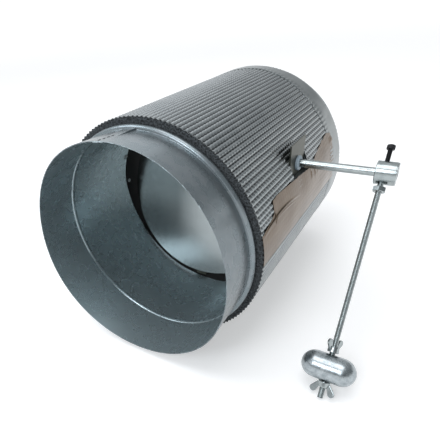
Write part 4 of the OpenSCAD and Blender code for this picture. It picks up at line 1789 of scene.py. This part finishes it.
@dataclass
class Counterweight:
    """The capsule weight and the two wing nuts that hold it on the rod."""

    layout: Layout
    at: float = 219.5
    r: float = 15.0
    length: float = 57.0
    cap_steps: int = 24
    barrel_steps: int = 18
    weight_sides: int = 128
    hole_r: float = 3.45
    flare_out: float = 3.4
    flare_in: float = 3.6
    flare_steps: int = 9
    drill_past: float = 0.6
    drill_sides: int = 64
    weight_crease: float = 40.0
    upper_gap: float = 2.4
    lower_gap: float = 0.2
    upper_turn: float = 64.0
    lower_turn: float = 12.0
    bore_r: float = 3.1
    base_r: float = 6.3
    base_h: float = 6.5
    base_share: float = 0.86
    base_fillets: tuple[float, float] = (0.5, 0.7)
    base_sides: int = 48
    span: float = 27.0
    height: float = 14.5
    wing_t: float = 2.4
    wing_root_share: float = 0.84
    wing_foot: float = 1.1
    wing_sides: int = 24
    cast_grain: float = 0.32
    cast_factor: float = 0.5
    cast_rounds: int = 6

    def build(self) -> None:
        """Makes the weight and both nuts."""
        self.weight()
        upper = self.layout.at_arm(self.at - self.r - self.upper_gap)
        lower = self.layout.at_arm(self.at + self.r + self.lower_gap) @ Matrix.Rotation(TURN / 2, 4, "X")
        self.wing_nut("upper_wing", upper, self.upper_turn, Body.UPPER_WING_NUT, "upper_wing_nut")
        self.wing_nut("lower_wing", lower, self.lower_turn, Body.LOWER_WING_NUT, "lower_wing_nut")

    def weight(self) -> None:
        """Makes the capsule, drilled across, its holes flared."""
        half = self.length / 2 - self.r
        arc = np.linspace(0, TURN / 4, self.cap_steps)
        left = [Corner(self.r * math.sin(t), -half - self.r * math.cos(t)) for t in arc]
        middle = [Corner(self.r, z) for z in np.linspace(-half, half, self.barrel_steps)[1:-1]]
        body = lathe([*left, *middle, *mirrored(left)], self.weight_sides)
        frame = self.layout.at_arm(self.at)
        weight = body.placed(Matrix.Rotation(TURN / 4, 4, "Y")).placed(frame).piece("polished_capsule")
        end = self.r + self.drill_past
        flare = [
            Corner(self.hole_r + self.flare_out * (1 - math.sin(t)), end - self.flare_in * (1 - math.cos(t)))
            for t in np.linspace(0, TURN / 4, self.flare_steps)
        ]
        drill = lathe([Corner(0, end), *flare, *mirrored(flare), Corner(0, -end)], self.drill_sides)
        carve(weight, drill.placed(frame), self.weight_crease)
        dress(weight, POLISHED_WEIGHT, "polished_chrome", Body.WEIGHT, "weight")

    def wing_nut(self, name: str, frame: Matrix, turn: float, body: Body, node: str) -> None:
        """Makes one wing nut as a smooth casting.

        Args:
            name: the object's name.
            frame: frame of its flat base, the wings towards +Z.
            turn: turn of its wings about the rod, in degrees.
            body: body that it rides on.
            node: CAD node that it replaces.
        """
        low, high = self.base_fillets
        boss = lathe(
            [
                Corner(self.bore_r, 0),
                Corner(self.base_r, 0, low),
                Corner(self.base_r * self.base_share, self.base_h, high),
                Corner(self.bore_r, self.base_h),
            ],
            self.base_sides,
            True,
        ).piece(name)
        for way in (-1, 1):
            self.add_wing(boss.data, way)
        cast = boss.modifiers.new("Cast", "REMESH")
        cast.mode = "VOXEL"
        cast.voxel_size = self.cast_grain * MM
        cast.use_smooth_shade = True
        soft = boss.modifiers.new("Soft", "SMOOTH")
        soft.factor = self.cast_factor
        soft.iterations = self.cast_rounds
        mesh = bake(boss)
        mesh.transform(in_metres(frame @ Matrix.Rotation(math.radians(turn), 4, "Z")))
        mesh.shade_smooth()
        dress(boss, ZINC_PLATE, "plated_steel", body, node)

    def add_wing(self, mesh: bpy.types.Mesh, way: int) -> None:
        """Adds one wing to a boss.

        Args:
            mesh: the boss's mesh.
            way: 1 for the wing towards +X, -1 for the other.
        """
        tip = self.height / 4
        outline = (
            (way * (self.span / 2 - tip), self.height - tip, tip),
            (way * self.base_r * self.wing_root_share, self.base_h / 2, self.base_h / 3),
            (way * (self.hole_r + self.wing_foot), self.base_h / 2, self.wing_t / 2),
        )
        wing = bmesh.new()
        for x, z, r in outline:
            for k in range(self.wing_sides):
                a = TURN * k / self.wing_sides
                for side in (-1, 1):
                    spot = (x + r * math.cos(a), side * self.wing_t / 2, z + r * math.sin(a))
                    wing.verts.new([c * MM for c in spot])
        bmesh.ops.convex_hull(wing, input=wing.verts)
        part = bpy.data.meshes.new("wing")
        wing.to_mesh(part)
        wing.free()
        work = bmesh.new()
        work.from_mesh(mesh)
        work.from_mesh(part)
        work.to_mesh(mesh)
        work.free()
        bpy.data.meshes.remove(part)


# Studio


@dataclass(frozen=True)
class Lamp:
    """A soft square lamp: where it stands, its side in metres, its watts and its sRGB colour."""

    name: str
    place: tuple[float, float, float]
    side: float
    watts: float
    colour: str


@dataclass
class Studio:
    """Floor, lamps, world and camera, in metres."""

    floor_z: float = -0.1415
    floor_r: float = 10.0
    floor_sides: int = 96
    floor_colour: str = "e2e2e2"
    wall_h: float = 3.4
    fade_from: float = 0.25
    glow: tuple[float, float] = (0.40, 0.80)
    glow_r: tuple[float, float] = (1.0, 10.0)
    bright_way: tuple[float, float, float] = (-0.72, 0.1, 0.68)
    room_ramp: tuple[tuple[float, str], ...] = ((0.0, "9b9fa2"), (0.75, "f4f7fa"))
    room_strength: float = 0.85
    aim: tuple[float, float, float] = (0.05, 0.15, 0.0)
    lamps: tuple[Lamp, ...] = (
        Lamp("overhead_lamp", (0.0, -0.15, 2.0), 1.3, 13.0, "fdfdff"),
        Lamp("left_lamp", (-1.1, 1.7, 1.3), 1.4, 2.5, "f6f9ff"),
        Lamp("side_lamp", (-1.3, -0.5, 1.5), 0.9, 10.0, "f2f8ff"),
        Lamp("front_lamp", (-0.1, -1.6, 1.4), 0.8, 14.0, "f4f9ff"),
    )
    eye: tuple[float, float, float] = (0.2591, -0.2939, 0.2345)
    right: tuple[float, float, float] = (0.835, 0.544, -0.086)
    down: tuple[float, float, float] = (0.238, -0.497, -0.834)
    focal_px: float = 397.2071
    centre_px: tuple[float, float] = (168.6205, 258.7619)
    frame_px: float = 440.0
    sensor_mm: float = 36.0
    clip: tuple[float, float] = (0.01, 100.0)

    def build(self) -> None:
        """Makes the whole studio."""
        self.camera()
        self.floor()
        self.world()
        for lamp in self.lamps:
            self.light(lamp)

    def camera(self) -> None:
        """Makes the camera that stands where the photograph's did."""
        x = Vector(self.right).normalized()
        y = -Vector(self.down)
        y = (y - x * y.dot(x)).normalized()
        z = x.cross(y)
        lens = bpy.data.cameras.new("camera")
        lens.sensor_width = self.sensor_mm
        lens.lens = self.sensor_mm * self.focal_px / self.frame_px
        lens.shift_x = (self.frame_px / 2 - self.centre_px[0]) / self.frame_px
        lens.shift_y = (self.centre_px[1] - self.frame_px / 2) / self.frame_px
        lens.clip_start, lens.clip_end = self.clip
        made = placed_in_scene("camera", lens)
        made.matrix_world = Matrix.Translation(self.eye) @ Matrix((x, y, z)).transposed().to_4x4()
        bpy.context.scene.camera = made

    def floor(self) -> None:
        """Makes the pale round floor and the wall round it, which fades out upwards."""
        mesh = bpy.data.meshes.new("floor")
        n = self.floor_sides
        turns = [TURN * k / n for k in range(n)]
        heights = (self.floor_z, self.floor_z + self.wall_h)
        points = [(self.floor_r * math.cos(a), self.floor_r * math.sin(a), z) for z in heights for a in turns]
        wall = [(n + k, n + (k + 1) % n, (k + 1) % n, k) for k in range(n)]
        mesh.from_pydata(points, [], [tuple(range(n)), *wall])
        mesh.materials.append(self.paint())
        placed_in_scene("floor", mesh)

    def paint(self) -> bpy.types.Material:
        """Makes the floor's matt paint, which keeps shadows and shows bright to the camera and to metal.

        Returns:
            The material.
        """
        paint = bpy.data.materials.new("pale_floor")
        paint.use_nodes = True
        tree = paint.node_tree
        tree.nodes.clear()
        path = add(tree, "ShaderNodeLightPath").outputs
        seen = path["Is Camera Ray"]
        for kind in ("Is Glossy Ray", "Is Transmission Ray"):
            seen = add(tree, MATH, {0: seen, 1: path[kind]}, operation="MAXIMUM")
        spot = add(tree, "ShaderNodeTexCoord").outputs["Object"]
        away = add(tree, "ShaderNodeVectorMath", {0: spot}, operation="LENGTH").outputs["Value"]
        spread = {0: away, **dict(enumerate(self.glow_r + self.glow, 1))}
        rise = add(tree, "ShaderNodeMapRange", spread)
        glow = add(tree, MATH, {0: seen, 1: rise}, operation="MULTIPLY")
        matt = add(tree, "ShaderNodeBsdfDiffuse", {"Color": linear(self.floor_colour)})
        light = add(tree, "ShaderNodeEmission", {"Color": linear("ffffff"), "Strength": glow})
        both = add(tree, "ShaderNodeAddShader", {0: matt, 1: light})
        height = add(tree, "ShaderNodeSeparateXYZ", {0: spot}).outputs[2]
        rows = {0: height, 1: self.fade_from, 2: self.floor_z + self.wall_h}
        fade = add(tree, "ShaderNodeMapRange", rows, interpolation_type="SMOOTHSTEP")
        clear = add(tree, "ShaderNodeBsdfTransparent")
        whole = add(tree, "ShaderNodeMixShader", {0: fade, 1: both, 2: clear})
        add(tree, "ShaderNodeOutputMaterial", {0: whole})
        return paint

    def world(self) -> None:
        """Makes the room round the object, bright on one side and overhead."""
        room = bpy.data.worlds.new("room")
        bpy.context.scene.world = room
        room.use_nodes = True
        tree = room.node_tree
        tree.nodes.clear()
        way = add(tree, "ShaderNodeTexCoord").outputs["Generated"]
        share = add(tree, "ShaderNodeVectorMath", {0: way, 1: self.bright_way}, operation="DOT_PRODUCT")
        ramp = add(tree, "ShaderNodeValToRGB", {0: share.outputs["Value"]})
        for stop, (position, code) in zip(ramp.color_ramp.elements, self.room_ramp):
            stop.position = position
            stop.color = linear(code)
        light = add(tree, "ShaderNodeBackground", {"Color": ramp, "Strength": self.room_strength})
        add(tree, "ShaderNodeOutputWorld", {0: light})

    def light(self, lamp: Lamp) -> None:
        """Puts up a lamp that faces the object.

        Args:
            lamp: the lamp.
        """
        light = bpy.data.lights.new(lamp.name, "AREA")
        light.shape = "SQUARE"
        light.size = lamp.side
        light.energy = lamp.watts
        light.color = linear(lamp.colour)[:3]
        made = placed_in_scene(lamp.name, light)
        turn = (Vector(self.aim) - Vector(lamp.place)).to_track_quat("-Z", "Y").to_matrix().to_4x4()
        made.matrix_world = Matrix.Translation(lamp.place) @ turn


def main() -> None:
    """Builds the studio and the damper."""
    logging.basicConfig(level=logging.INFO, format="%(message)s")
    for thing in list(bpy.data.objects):
        bpy.data.objects.remove(thing)
    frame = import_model()
    nodes = frame["nodes"]
    layout = Layout()
    Studio().build()
    DuctTube(layout, nodes).build()
    Insulation(layout).build()
    Bearings(layout, nodes).build()
    Blade(layout, nodes).build()
    Arm(layout).build()
    Counterweight(layout).build()
    bpy.context.scene.view_settings.view_transform = "Standard"
    bpy.context.view_layer.update()


if __name__ == "__main__":
    main()
